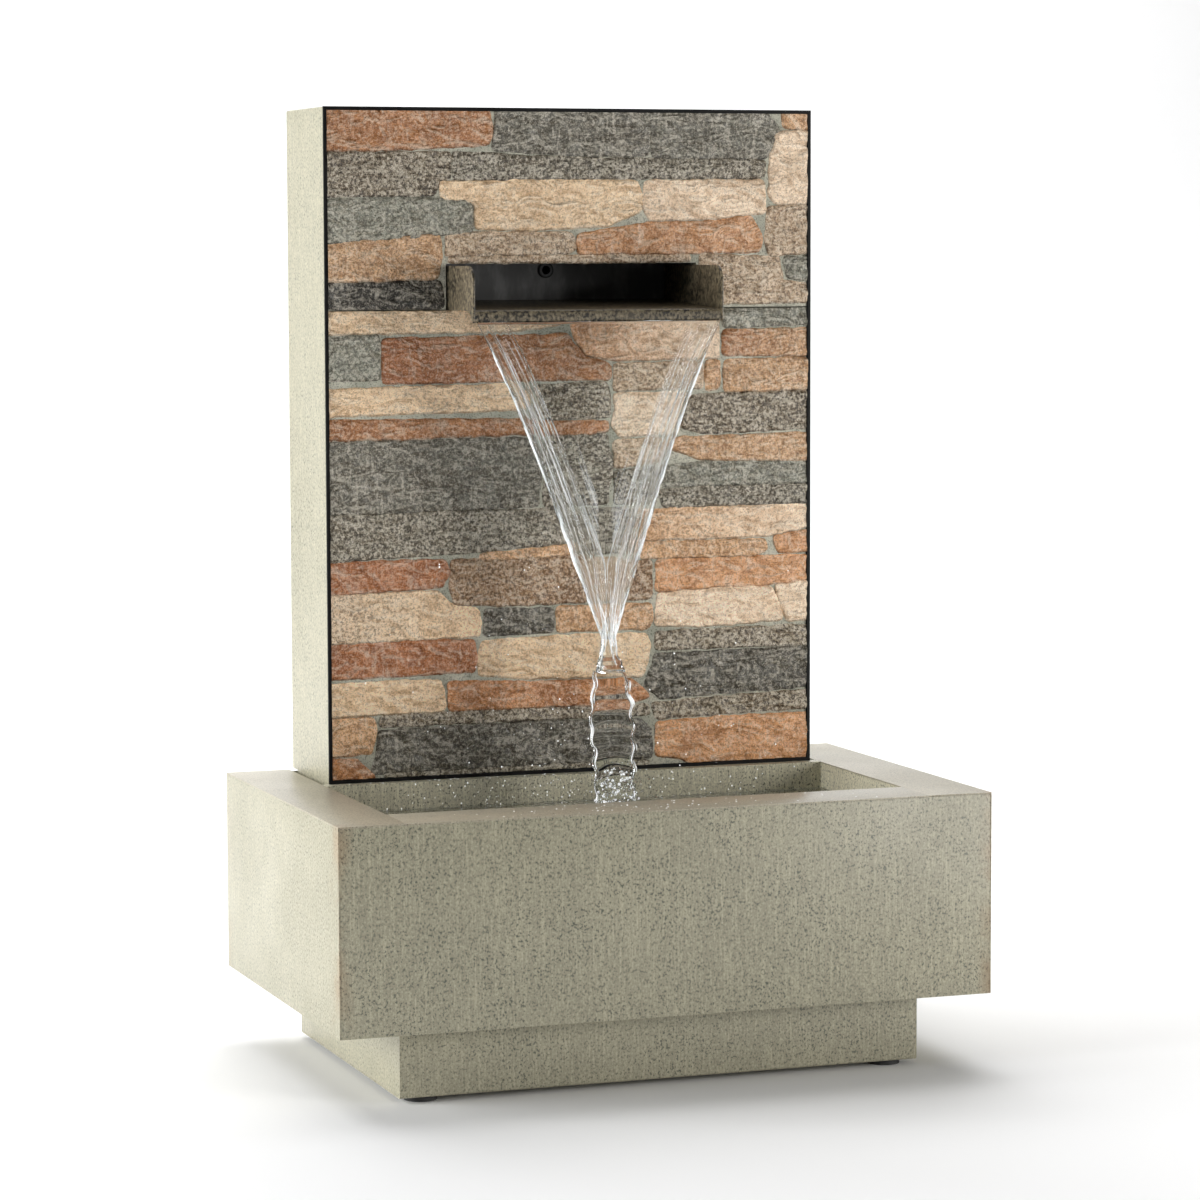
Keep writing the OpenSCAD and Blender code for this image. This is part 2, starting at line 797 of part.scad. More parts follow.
// Rubber bushes that hold the shaft's two ends
module shaft_bushes() {
    color(rubber_col)
    for (x = [[-volute_x + 1.2, volute_wall - 1.2], [well_end, 4.8]])
        difference() {
            rod_x([x[0], py, pz], bush_r, x[1]);
            rod_x([x[0] - 1, py, pz], shaft_r, x[1] + 2);
        }
}

// Suction cups under the pump
module suction_cups() {
    color(rubber_col)
    for (x = [volute_x + 10, volute_x + body_len - 10], y = [-1, 1])
        translate([x, py + y * (body_d / 2 - 10), tank_z]) difference() {
            rotate_extrude() polygon([[0, 0], [9, 0], [9, 1.2], [4, cup_h * 0.6], [4, cup_h],
                                      [0, cup_h]]);
            translate([0, 0, -1]) cylinder(r1 = 8.6, r2 = 1, h = 3);
        }
}

// Gland where the motor's lead leaves the block
module pump_cord_gland() {
    color(rubber_col)
    translate([volute_x + body_len, py + 8, pz + 8]) rotate([0, 90, 0]) difference() {
        union() {
            cylinder(r = 5.5, h = 4);
            translate([0, 0, -4]) cylinder(r = 3.5, h = 6);
            translate([0, 0, 4]) cylinder(r1 = 5.5, r2 = 4.2, h = 8);
        }
        translate([0, 0, -5]) cylinder(r = 2.5, h = 20);
    }
}

// Rubber grommet in the back cover for the pump's lead
module cable_grommet() {
    flange_r = cable_hole_r + 2.5;
    color(rubber_col)
    translate([cable_x, cover_y - 8, cable_z]) rotate([-90, 0, 0]) difference() {
        union() {
            cylinder(r = cable_hole_r, h = 8 + t);
            cylinder(r = flange_r, h = 8);
            translate([0, 0, 8 + t]) cylinder(r = flange_r, h = head_h);
        }
        translate([0, 0, -1]) cylinder(r = cable_r, h = 8 + t + head_h + 2);
    }
}

plinth_front();
plinth_back();
plinth_left();
plinth_right();
plinth_bolts();
foot_pads();
foot_screws();
basin_floor();
basin_front_wall();
basin_back_wall();
basin_left_wall();
basin_right_wall();
rim_front();
rim_left();
rim_right();
tank_trough();
tank_left_end();
tank_right_end();
tank_supports();
pump_partition();
tower_shell();
tower_back_cover();
cover_screws();
tower_brackets();
tower_bolts();
tile_frame();
backer_board();
tile_upper();
tile_lower();
spout_chute();
weir_box();
weir_screws();
inlet_grommet();
inlet_elbow();
hose();
hose_clamps();
pump_body();
pump_volute();
pump_intake_cover();
flow_dial();
impeller();
rotor_magnet();
impeller_shaft();
shaft_bushes();
suction_cups();
pump_cord_gland();
cable_grommet();
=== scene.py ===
"""A tabletop wall fountain: speckled sheet-metal basin, stone-look tile face and falling water."""

import json
import math
import random

import bmesh
import bpy
from mathutils import Euler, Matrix, Vector, geometry, noise


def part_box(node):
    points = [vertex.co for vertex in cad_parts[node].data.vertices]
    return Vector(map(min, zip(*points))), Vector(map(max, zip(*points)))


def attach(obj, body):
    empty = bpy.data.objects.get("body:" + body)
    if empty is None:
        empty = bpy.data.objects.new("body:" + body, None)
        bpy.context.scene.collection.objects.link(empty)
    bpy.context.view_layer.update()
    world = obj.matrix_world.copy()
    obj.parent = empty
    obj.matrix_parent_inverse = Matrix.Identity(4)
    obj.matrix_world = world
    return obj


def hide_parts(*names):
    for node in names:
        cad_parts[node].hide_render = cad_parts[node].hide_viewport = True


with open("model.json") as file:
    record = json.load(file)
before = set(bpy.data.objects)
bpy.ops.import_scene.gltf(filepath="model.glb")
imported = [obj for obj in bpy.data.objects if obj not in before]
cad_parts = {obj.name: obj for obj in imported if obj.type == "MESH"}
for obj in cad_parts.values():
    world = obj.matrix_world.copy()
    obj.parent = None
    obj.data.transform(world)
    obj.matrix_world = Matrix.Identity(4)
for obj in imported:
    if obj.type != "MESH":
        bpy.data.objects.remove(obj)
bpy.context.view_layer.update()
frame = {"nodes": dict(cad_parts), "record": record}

MM = 0.001
ROOT = "fountain"

# ---------------------------------------------------------------- places taken from the frame

RIM_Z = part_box("rim_front")[1].z
TILE_LOW, TILE_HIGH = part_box("tile_lower")[0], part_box("tile_upper")[1]
TILE_Y = TILE_LOW.y
TOWER_LOW, TOWER_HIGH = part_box("tower_shell")
FRAME_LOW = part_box("tile_frame")[0]
SPOUT_LOW, SPOUT_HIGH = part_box("spout_chute")
BASIN_LOW, BASIN_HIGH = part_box("basin_front_wall")[0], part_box("basin_back_wall")[1]
TANK_LOW, TANK_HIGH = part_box("tank_trough")
PARTITION_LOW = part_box("pump_partition")[0]
COVER_LOW, COVER_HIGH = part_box("tower_back_cover")
WORN_X, WORN_Y = (0.236, 0.250), (0.130, 0.158)  # metres from the middle where edges wear
SHEET_T = BASIN_HIGH.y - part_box("basin_back_wall")[0].y
CENTRE_X = (TILE_LOW.x + TILE_HIGH.x) / 2
TOWER_LEFT = FRAME_LOW.x

# ---------------------------------------------------------------- camera

CAMERA_AT = Vector((-0.9994, -2.7888, 0.6067))
CAMERA_YAW = math.radians(19.736)
CAMERA_PITCH = math.radians(5.125)
CAMERA_ROLL = math.radians(0.181)
CAMERA_LENS = 118.98
SENSOR = 36.0


def make_camera():
    """The camera, fitted to the straight edges of the object in the photograph."""
    data = bpy.data.cameras.new("camera")
    data.lens = CAMERA_LENS
    data.sensor_width = SENSOR
    data.clip_start = 0.05
    data.clip_end = 60.0
    cam = bpy.data.objects.new("camera", data)
    bpy.context.scene.collection.objects.link(cam)
    cam.location = CAMERA_AT
    level = Euler((math.pi / 2 - CAMERA_PITCH, 0.0, -CAMERA_YAW), "XYZ").to_matrix()
    roll = Euler((0.0, 0.0, -CAMERA_ROLL), "XYZ").to_matrix()
    cam.rotation_euler = (level @ roll).to_euler("XYZ")
    bpy.context.scene.camera = cam


make_camera()

# ---------------------------------------------------------------- light and stage


def area_light(name, at, aim, size, power, tint=(1.0, 1.0, 1.0)):
    """A rectangular soft light at a point, its size in metres, turned towards aim."""
    data = bpy.data.lights.new(name, "AREA")
    data.shape = "RECTANGLE"
    data.size, data.size_y = size
    data.energy = power
    data.color = tint
    lamp = bpy.data.objects.new(name, data)
    bpy.context.scene.collection.objects.link(lamp)
    lamp.location = at
    lamp.rotation_euler = (Vector(aim) - Vector(at)).to_track_quat("-Z", "Y").to_euler()


def make_lights():
    """Softboxes left, front right and above, and one that only lights the backdrop."""
    middle = (0.0, 0.0, 0.35)
    area_light("left_box", (-3.0, 0.25, 0.8), middle, (2.2, 2.2), 148, (0.97, 0.985, 1.0))
    area_light("right_box", (1.62, -1.62, 0.44), middle, (0.9, 1.2), 31, (1.0, 0.985, 0.96))
    area_light("top_box", (0.2, 1.5, 2.9), (0.0, 0.1, 0.2), (3.4, 2.4), 105)
    area_light("backdrop_box", (1.2, 2.6, 3.6), (2.2, 5.0, 0.6), (3.0, 2.0), 150)
    world = bpy.data.worlds.new("studio")
    bpy.context.scene.world = world
    world.use_nodes = True
    background = world.node_tree.nodes["Background"]
    background.inputs["Color"].default_value = (1.0, 1.0, 1.0, 1.0)
    background.inputs["Strength"].default_value = 0.06
    bpy.context.scene.view_settings.view_transform = "Standard"


make_lights()

# ---------------------------------------------------------------- node materials


class Surface:
    """One material's node tree, built with short calls. Positions are in metres."""

    def __init__(self, name, roughness=0.5, metallic=0.0):
        self.material = bpy.data.materials.new(name)
        self.material.use_nodes = True
        self.tree = self.material.node_tree
        self.shader = self.tree.nodes["Principled BSDF"]
        self.where = self.add("ShaderNodeTexCoord").outputs["Object"]
        self.shader.inputs["Roughness"].default_value = roughness
        self.shader.inputs["Metallic"].default_value = metallic

    def add(self, kind, **settings):
        node = self.tree.nodes.new(kind)
        for key, value in settings.items():
            setattr(node, key, value)
        return node

    def put(self, socket, value):
        """Links a socket's value, or sets it when it is a plain number or colour."""
        if isinstance(value, bpy.types.NodeSocket):
            self.tree.links.new(value, socket)
        elif isinstance(value, tuple) and len(value) == 3 and socket.type == "RGBA":
            socket.default_value = (*value, 1.0)
        else:
            socket.default_value = value

    def stretched(self, stretch, turn=(0.0, 0.0, 0.0), shift=(0.0, 0.0, 0.0)):
        node = self.add("ShaderNodeMapping")
        self.put(node.inputs["Vector"], self.where)
        node.inputs["Location"].default_value = shift
        node.inputs["Scale"].default_value = stretch
        node.inputs["Rotation"].default_value = turn
        return node.outputs["Vector"]

    def noise(self, scale, detail=3.0, rough=0.55, at=None, warp=0.0):
        node = self.add("ShaderNodeTexNoise")
        self.put(node.inputs["Vector"], self.where if at is None else at)
        node.inputs["Scale"].default_value = scale
        node.inputs["Detail"].default_value = detail
        node.inputs["Roughness"].default_value = rough
        node.inputs["Distortion"].default_value = warp
        return node.outputs["Fac"]

    def embossed(self, stretch, turn, shift):
        """A noise, and how it differs from itself a little to one side, as if lit from there."""
        here = self.noise(1.0, 3.0, 0.55, at=self.stretched(stretch, turn), warp=1.1)
        beside = self.noise(1.0, 3.0, 0.55, at=self.stretched(stretch, turn, shift), warp=1.1)
        return here, self.math("SUBTRACT", here, beside)

    def span(self, value, low, high, out_low=0.0, out_high=1.0):
        """Maps low..high to out_low..out_high, smoothly and clamped."""
        node = self.add("ShaderNodeMapRange", interpolation_type="SMOOTHSTEP")
        self.put(node.inputs["Value"], value)
        node.inputs["From Min"].default_value = low
        node.inputs["From Max"].default_value = high
        node.inputs["To Min"].default_value = out_low
        node.inputs["To Max"].default_value = out_high
        return node.outputs["Result"]

    def math(self, operation, a, b=0.0):
        node = self.add("ShaderNodeMath", operation=operation)
        self.put(node.inputs[0], a)
        self.put(node.inputs[1], b)
        return node.outputs["Value"]

    def mix(self, amount, a, b, blend="MIX"):
        node = self.add("ShaderNodeMix", data_type="RGBA", blend_type=blend)
        self.put(node.inputs["Factor"], amount)
        self.put(node.inputs[6], a)
        self.put(node.inputs[7], b)
        return node.outputs[2]

    def attribute(self, name):
        node = self.add("ShaderNodeAttribute", attribute_name=name)
        parts = self.add("ShaderNodeSeparateColor")
        self.put(parts.inputs["Color"], node.outputs["Color"])
        return node.outputs["Color"], parts.outputs

    def axis(self, which):
        node = self.add("ShaderNodeSeparateXYZ")
        self.put(node.inputs["Vector"], self.where)
        return node.outputs[which]

    def bump(self, height, distance, strength=1.0):
        node = self.add("ShaderNodeBump")
        node.inputs["Strength"].default_value = strength
        node.inputs["Distance"].default_value = distance
        self.put(node.inputs["Height"], height)
        self.put(self.shader.inputs["Normal"], node.outputs["Normal"])

    def colour(self, value):
        self.put(self.shader.inputs["Base Color"], value)
        return self

    def rough(self, value):
        self.put(self.shader.inputs["Roughness"], value)
        return self


def rgb(r, g, b):
    """A colour given in 8-bit display values, as linear light."""
    def lin(c):
        c /= 255.0
        return c / 12.92 if c <= 0.04045 else ((c + 0.055) / 1.055) ** 2.4
    return (lin(r), lin(g), lin(b))


def toned(tone, by):
    return tuple(by * c for c in tone)


def speckled_steel(name, base, speck, gloss, brushed=1.0, flecked=1.0):
    """Coated sheet: cloudy ground, upright brushing, dark and light flecks, warm worn edges."""
    s = Surface(name)
    cloud = s.noise(8.0, 4.0, 0.6)
    shaded = toned(base, 0.84)
    bright = tuple(min(1.0, 1.5 * c) for c in base)
    ground = s.mix(s.span(cloud, 0.35, 0.68), base, shaded)
    brush = s.noise(1.0, 3.0, 0.6, at=s.stretched((760.0, 760.0, 40.0)))
    ground = s.mix(s.span(brush, 0.40, 0.60, 0.0, 0.45 * brushed), ground,
                   toned(base, 0.70))
    ground = s.mix(s.span(brush, 0.46, 0.34, 0.0, 0.34 * brushed), ground, bright)
    patch = s.noise(24.0, 3.0)
    size = 640.0 * flecked ** -0.4
    fleck = s.noise(1.0, 2.0, 0.6, at=s.stretched((size, size, 0.8 * size)))
    grit = s.noise(1500.0, 2.0, 0.6)
    ground = s.mix(s.span(grit, 0.40, 0.62, 0.0, 0.45), ground, toned(base, 0.62))
    amount = s.math("MULTIPLY", s.span(fleck, 0.60 - 0.04 * flecked, 0.68 - 0.04 * flecked),
                    s.span(patch, 0.30, 0.65, 0.60, 1.0))
    ground = s.mix(amount, ground, speck)
    ground = s.mix(s.span(fleck, 0.44, 0.36, 0.0, 0.35 * flecked), ground, bright)
    worn_x = s.span(s.math("ABSOLUTE", s.axis(0)), *WORN_X)
    worn_y = s.span(s.math("ABSOLUTE", s.axis(1)), *WORN_Y)
    worn = s.math("MULTIPLY", s.math("MULTIPLY", worn_x, worn_y), s.span(patch, 0.35, 0.65))
    ground = s.mix(s.math("MULTIPLY", worn, 0.45), ground, rgb(150, 118, 84))
    s.colour(ground)
    s.rough(s.span(cloud, 0.3, 0.7, gloss, gloss + 0.1))
    s.bump(s.math("ADD", fleck, s.math("MULTIPLY", brush, 0.4)), 0.00012, 0.6)
    return s.material


def moulded(name, tone, roughness, grain=0.00004):
    """Moulded plastic: fine matt texture with faint cloudiness."""
    s = Surface(name, roughness)
    cloud = s.noise(60.0, 3.0)
    s.colour(s.mix(s.span(cloud, 0.3, 0.7), tone, toned(tone, 0.8)))
    s.rough(s.span(cloud, 0.3, 0.7, roughness - 0.05, roughness + 0.08))
    s.bump(s.noise(2600.0, 2.0), grain)
    return s.material


def black_coat(name, tone=0.005):
    """Satin black paint with dust and faint water marks."""
    s = Surface(name)
    marks = s.noise(70.0, 4.0, 0.6, at=s.stretched((1.0, 1.0, 0.4)))
    dust = s.noise(1400.0, 2.0)
    ground = s.mix(s.span(marks, 0.4, 0.75), (tone, tone, tone), (2 * tone, 2 * tone, 2 * tone))
    s.colour(s.mix(s.span(dust, 0.66, 0.8, 0.0, 0.25), ground, (0.05, 0.049, 0.045)))
    s.rough(s.span(marks, 0.35, 0.7, 0.38, 0.55))
    s.shader.inputs["Specular IOR Level"].default_value = 0.14
    s.bump(s.noise(900.0, 2.0), 0.00004)
    return s.material


def brushed_metal(name, tone, roughness):
    s = Surface(name, roughness, 1.0)
    lines = s.noise(1.0, 3.0, 0.6, at=s.stretched((400.0, 3000.0, 400.0)))
    s.colour(s.mix(s.span(lines, 0.35, 0.65), tone, toned(tone, 0.75)))
    s.rough(s.span(lines, 0.35, 0.65, roughness - 0.08, roughness + 0.1))
    s.bump(lines, 0.00003)
    return s.material


def soft_rubber(name):
    s = Surface(name, 0.75)
    bloom = s.noise(160.0, 4.0)
    s.colour(s.mix(s.span(bloom, 0.4, 0.75), (0.022, 0.022, 0.022), (0.05, 0.049, 0.047)))
    s.rough(s.span(bloom, 0.3, 0.7, 0.62, 0.85))
    s.bump(s.noise(1800.0, 3.0), 0.00006)
    return s.material


def stone_face(name):
    """Printed stone: each stone's own tone, speckle, streaks and mottling come with the mesh, and
    side light on its relief is painted in.
    """
    s = Surface(name)
    tone, _ = s.attribute("tone")
    _, grain = s.attribute("grain")
    speckle, streak, mottle = grain[0], grain[1], grain[2]
    grit = s.noise(400.0, 3.0, 0.75)
    fine = s.noise(900.0, 2.0, 0.6)
    blotch = s.noise(46.0, 5.0, 0.66, warp=0.8)
    level = s.stretched((46.0, 46.0, 240.0), (0.0, 0.22, 0.0))
    veins = s.noise(1.0, 4.0, 0.62, at=level, warp=0.4)
    scars_and_highlights = s.noise(1.0, 2.0, 0.5, at=s.stretched((260.0, 260.0, 60.0), (0.0, -0.5, 0.0)))
    dark = s.mix(1.0, tone, (0.20, 0.18, 0.17), "MULTIPLY")
    deep = s.mix(1.0, tone, (0.58, 0.50, 0.42), "MULTIPLY")
    pale = s.mix(0.5, tone, (0.92, 0.84, 0.70))
    ground = s.mix(s.math("MULTIPLY", s.span(blotch, 0.44, 0.66), mottle), tone, deep)
    ground = s.mix(s.math("MULTIPLY", s.span(blotch, 0.46, 0.28), mottle), ground, pale)
    ground = s.mix(s.math("MULTIPLY", s.span(veins, 0.52, 0.66), streak), ground, deep)
    # Pale diagonal streaks: chisel scars, with painted highlights along them.
    ground = s.mix(s.math("MULTIPLY", s.span(scars_and_highlights, 0.58, 0.68), streak), ground, pale)
    # Painted highlight and painted shade: the relief as if lit from one side, painted into the
    # colour.
    chips, lit = s.embossed((46.0, 60.0, 84.0), (0.0, 0.35, 0.0), (0.10, 0.0, 0.16))
    ground = s.mix(s.span(lit, 0.01, 0.12, 0.0, 0.65), ground, pale)
    ground = s.mix(s.span(lit, -0.01, -0.12, 0.0, 0.70), ground, deep)
    ground = s.mix(s.math("MULTIPLY", s.span(grit, 0.52, 0.57), speckle), ground, dark)
    ground = s.mix(s.math("MULTIPLY", s.span(grit, 0.465, 0.41), speckle), ground, pale)
    ground = s.mix(s.span(fine, 0.54, 0.64, 0.0, 0.50), ground, dark)
    ground = s.mix(s.span(fine, 0.44, 0.36, 0.0, 0.40), ground, pale)
    s.colour(ground)
    s.rough(s.span(blotch, 0.3, 0.7, 0.24, 0.46))
    relief = s.math("ADD", s.math("MULTIPLY", grit, 0.12), s.math("MULTIPLY", veins, 0.3))
    s.bump(s.math("ADD", relief, chips), 0.0055, 0.9)
    return s.material


def grout_bed(name):
    s = Surface(name, 0.8)
    sand = s.noise(1100.0, 3.0, 0.6)
    cloud = s.noise(34.0, 3.0)
    ground = s.mix(s.span(cloud, 0.35, 0.65), rgb(208, 205, 188), rgb(170, 170, 154))
    ground = s.mix(s.span(sand, 0.52, 0.62, 0.0, 0.7), ground, rgb(92, 94, 84))
    s.colour(s.mix(s.span(sand, 0.44, 0.34, 0.0, 0.55), ground, rgb(190, 188, 172)))
    s.bump(sand, 0.0006, 0.7)
    return s.material


def water_body(name, roughness=0.0, clear=1.0, ripple=0.0, glint=0.0):
    """Moving water: glass, or froth where it is less clear, with an optional fine ripple and an
    optional glow that paints glints on.
    """
    s = Surface(name, roughness)
    s.shader.inputs["IOR"].default_value = 1.333
    s.shader.inputs["Transmission Weight"].default_value = clear
    s.shader.inputs["Emission Color"].default_value = (1.0, 1.0, 1.0, 1.0)
    s.shader.inputs["Emission Strength"].default_value = glint
    tint = s.mix(s.span(s.noise(120.0), 0.3, 0.7), (0.98, 0.99, 1.0), (0.94, 0.97, 0.97))
    s.colour(tint)
    if ripple:
        s.bump(s.noise(140.0, 2.0), ripple)
    return s.material


def pebbled_board(name, tone):
    s = Surface(name, 0.85)
    fibre = s.noise(240.0, 4.0, 0.65)
    s.colour(s.mix(s.span(fibre, 0.35, 0.65), tone, toned(tone, 0.7)))
    s.bump(fibre, 0.0003)
    return s.material


STEEL = speckled_steel("speckled_steel", rgb(174, 169, 146), rgb(92, 95, 83), 0.32)
# Painted sheen: the rim strips are the basin's steel painted lighter, for the sheen on their tops.
STEEL_RIM_PAINTED_SHEEN = speckled_steel("speckled_steel_rim_painted_sheen", rgb(182, 174, 153), rgb(116, 111, 97), 0.30,
                           0.6, 0.8)
# Painted light: the tank, its ends and the ledge wall are the basin's steel painted lighter, for
# the light inside the basin.
STEEL_TANK_PAINTED_LIGHT = speckled_steel("speckled_steel_tank_painted_light", rgb(216, 210, 184), rgb(88, 92, 80), 0.34)
STEEL_SPOUT = speckled_steel("speckled_steel_spout", rgb(110, 100, 80), rgb(18, 16, 13), 0.36,
                             1.2, 2.6)
BLACK = black_coat("black_trim")
# Painted light: the weir box is the trim's black paint made lighter grey.
BLACK_BOX_PAINTED_LIGHT = black_coat("black_box_painted_light", 0.11)
STONE = stone_face("stone_tile")
GROUT = grout_bed("grout_bed")
RUBBER = soft_rubber("rubber")
FASTENER = brushed_metal("fasteners", (0.62, 0.62, 0.63), 0.32)
PLASTIC = moulded("pump_plastic", (0.022, 0.024, 0.027), 0.45)
SLOT_LOOKS = {
    "speckled_steel": STEEL,
    "black_trim": BLACK,
    "stone_tile": STONE,
    "backing_board": pebbled_board("backing_board", rgb(150, 146, 136)),
    "fasteners": FASTENER,
    "rubber": RUBBER,
    "pump_plastic": PLASTIC,
    "dial_plastic": moulded("dial_plastic", (0.12, 0.13, 0.14), 0.5),
    "impeller_plastic": moulded("impeller_plastic", (0.62, 0.62, 0.58), 0.42),
    "hose_pvc": moulded("hose_pvc", (0.030, 0.032, 0.036), 0.22, 0.00002),
    "magnet": moulded("magnet", (0.035, 0.035, 0.038), 0.6),
    "ceramic_shaft": moulded("ceramic_shaft", (0.80, 0.79, 0.74), 0.2, 0.00001),
}
NODE_LOOKS = {"pump_partition": STEEL_TANK_PAINTED_LIGHT, "weir_box": BLACK_BOX_PAINTED_LIGHT,
              "inlet_grommet": BLACK}
WATER_SHEET = water_body("water_sheet")
WATER_ROPE = water_body("water_rope", 0.02)
WATER_POOL = water_body("water_pool", 0.01, 1.0, 0.0002)
# These two glow though they are no lamps: painted glints on the white water, the froth and the
# sparks.
WATER_WHITE_GLOWING = water_body("water_white", 0.25, 0.55, 0.0, 0.20)
WATER_SPARK_GLOWING = water_body("water_spark", 0.15, 0.30, 0.0, 0.40)

# ---------------------------------------------------------------- mesh helpers


def lumps(x, y, z):
    """Smooth unevenness at a place, about -1 to 1."""
    return noise.noise(Vector((x, y, z)))


def smooth(low, high, value):
    """0 below low and 1 above high, with an eased run between them."""
    t = min(max((value - low) / (high - low), 0.0), 1.0)
    return t * t * (3.0 - 2.0 * t)


def piece(name, mesh, material, body=ROOT, replaces=(), smooth_angle=35.0):
    """Makes an object that rides on a body and takes the finish it is given."""
    obj = bpy.data.objects.new(name, mesh)
    bpy.context.scene.collection.objects.link(obj)
    mesh.materials.append(material)
    for face in mesh.polygons:
        face.use_smooth = True
    mesh.set_sharp_from_angle(angle=math.radians(smooth_angle))
    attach(obj, body)
    if replaces:
        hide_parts(*replaces)
    return obj


def mesh_of(name, points, faces):
    mesh = bpy.data.meshes.new(name)
    mesh.from_pydata([tuple(p) for p in points], [], faces)
    mesh.validate()
    mesh.update()
    return mesh


def from_bmesh(name, bm):
    bmesh.ops.recalc_face_normals(bm, faces=bm.faces)
    mesh = bpy.data.meshes.new(name)
    bm.to_mesh(mesh)
    bm.free()
    return mesh


def soften(bm, width, segments=2, angle=30.0):
    """Bevels every edge sharper than an angle."""
    sharp = [e for e in bm.edges
             if len(e.link_faces) == 2 and e.calc_face_angle() > math.radians(angle)]
    bmesh.ops.bevel(bm, geom=sharp, offset=width, segments=segments, affect="EDGES",
                    profile=0.6, clamp_overlap=True)


def plate(name, low, high, width=0.4 * MM):
    """A flat sheet panel with softened edges, between two corners."""
    bm = bmesh.new()
    bmesh.ops.create_cube(bm, size=1.0)
    low, high = Vector(low), Vector(high)
    for v in bm.verts:
        v.co = Vector([low[i] + (v.co[i] + 0.5) * (high[i] - low[i]) for i in range(3)])
    soften(bm, width)
    return from_bmesh(name, bm)


def bent_line(points, radius, steps=5):
    """(place, side direction) stations along an open 2-D line whose corners are rounded."""
    points = [Vector(p) for p in points]
    stations = []
    for i, p in enumerate(points):
        before = (p - points[i - 1]).normalized() if i else None
        after = (points[i + 1] - p).normalized() if i < len(points) - 1 else None
        if before is None or after is None:
            along = after or before
            stations.append((p, Vector((-along.y, along.x))))
            continue
        turn = before.angle_signed(after)
        cut = radius * math.tan(abs(turn) / 2)
        side = 1.0 if before.x * after.y - before.y * after.x > 0 else -1.0
        centre = p - before * cut + Vector((-before.y, before.x)) * radius * side
        for k in range(steps + 1):
            a = abs(turn) * k / steps * side
            normal = Vector((-before.y, before.x))
            normal = Vector((normal.x * math.cos(a) - normal.y * math.sin(a),
                             normal.x * math.sin(a) + normal.y * math.cos(a)))
            stations.append((centre - normal * radius * side, normal))
    return stations


def folded(name, points, thickness, place, low, high, radius=2.0 * MM, width=0.3 * MM):
    """A bent sheet: the outer line is swept from low to high along the third axis.

    place(a, b, c) turns the line's two coordinates and the sweep's into a point.
    """
    stations = bent_line(points, radius)
    bm = bmesh.new()
    rows = []
    for end in (low, high):
        outer = [bm.verts.new(place(p.x, p.y, end)) for p, _ in stations]
        inner = [bm.verts.new(place(p.x + n.x * thickness, p.y + n.y * thickness, end))
                 for p, n in stations]
        rows.append((outer, inner))
    (a_out, a_in), (b_out, b_in) = rows
    for i in range(len(stations) - 1):
        bm.faces.new((a_out[i], a_out[i + 1], b_out[i + 1], b_out[i]))
        bm.faces.new((a_in[i], b_in[i], b_in[i + 1], a_in[i + 1]))
        bm.faces.new((a_out[i], a_in[i], a_in[i + 1], a_out[i + 1]))
        bm.faces.new((b_out[i], b_out[i + 1], b_in[i + 1], b_in[i]))
    for i in (0, len(stations) - 1):
        bm.faces.new((a_out[i], b_out[i], b_in[i], a_in[i]))
    soften(bm, width, angle=50.0)
    return from_bmesh(name, bm)


def tube_quads(count, sides):
    """The faces between count + 1 rings of points, each with the same number of sides."""
    return [(k * sides + i, k * sides + (i + 1) % sides,
             (k + 1) * sides + (i + 1) % sides, (k + 1) * sides + i)
            for k in range(count) for i in range(sides)]


def tube_mesh(path, radii, sides, wobble, seed):
    """A closed tube along a path, with its own radius at each point and an uneven skin."""
    points = []
    for k, p in enumerate(path):
        ahead = path[min(k + 1, len(path) - 1)] - path[max(k - 1, 0)]
        across = ahead.cross(Vector((0.0, 1.0, 0.0))).normalized()
        depth = across.cross(ahead).normalized()
        for i in range(sides):
            a = 2 * math.pi * i / sides
            r = radii[k]
            r *= 1.0 + wobble * lumps(math.cos(a) * 1.3 + seed, p.z * 160.0, math.sin(a) * 1.3)
            points.append(p + (across * math.cos(a) + depth * math.sin(a)) * r)
    faces = tube_quads(len(path) - 1, sides)
    faces.append(tuple(reversed(range(sides))))
    last = (len(path) - 1) * sides
    faces.append(tuple(range(last, last + sides)))
    return points, faces


def joined(name, parts):
    """One mesh from several (points, faces) pairs."""
    points, faces = [], []
    for part_points, part_faces in parts:
        base = len(points)
        points += part_points
        faces += [tuple(base + i for i in f) for f in part_faces]
    bm = bmesh.new()
    mesh = mesh_of(name, points, faces)
    bm.from_mesh(mesh)
    bmesh.ops.recalc_face_normals(bm, faces=bm.faces)
    bm.to_mesh(mesh)
    bm.free()
    return mesh


# ---------------------------------------------------------------- basin, plinth and tank


def make_panels():
    """Flat walls and rim strips, which keep their CAD boxes."""
    looks = {"basin_front_wall": STEEL, "basin_back_wall": STEEL, "basin_left_wall": STEEL,
             "basin_right_wall": STEEL, "rim_front": STEEL_RIM_PAINTED_SHEEN, "rim_left": STEEL_RIM_PAINTED_SHEEN,
             "rim_right": STEEL_RIM_PAINTED_SHEEN, "tank_left_end": STEEL_TANK_PAINTED_LIGHT,
             "tank_right_end": STEEL_TANK_PAINTED_LIGHT}
    for node, look in looks.items():
        low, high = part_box(node)
        piece("panel_" + node, plate(node, low, high), look, replaces=[node])


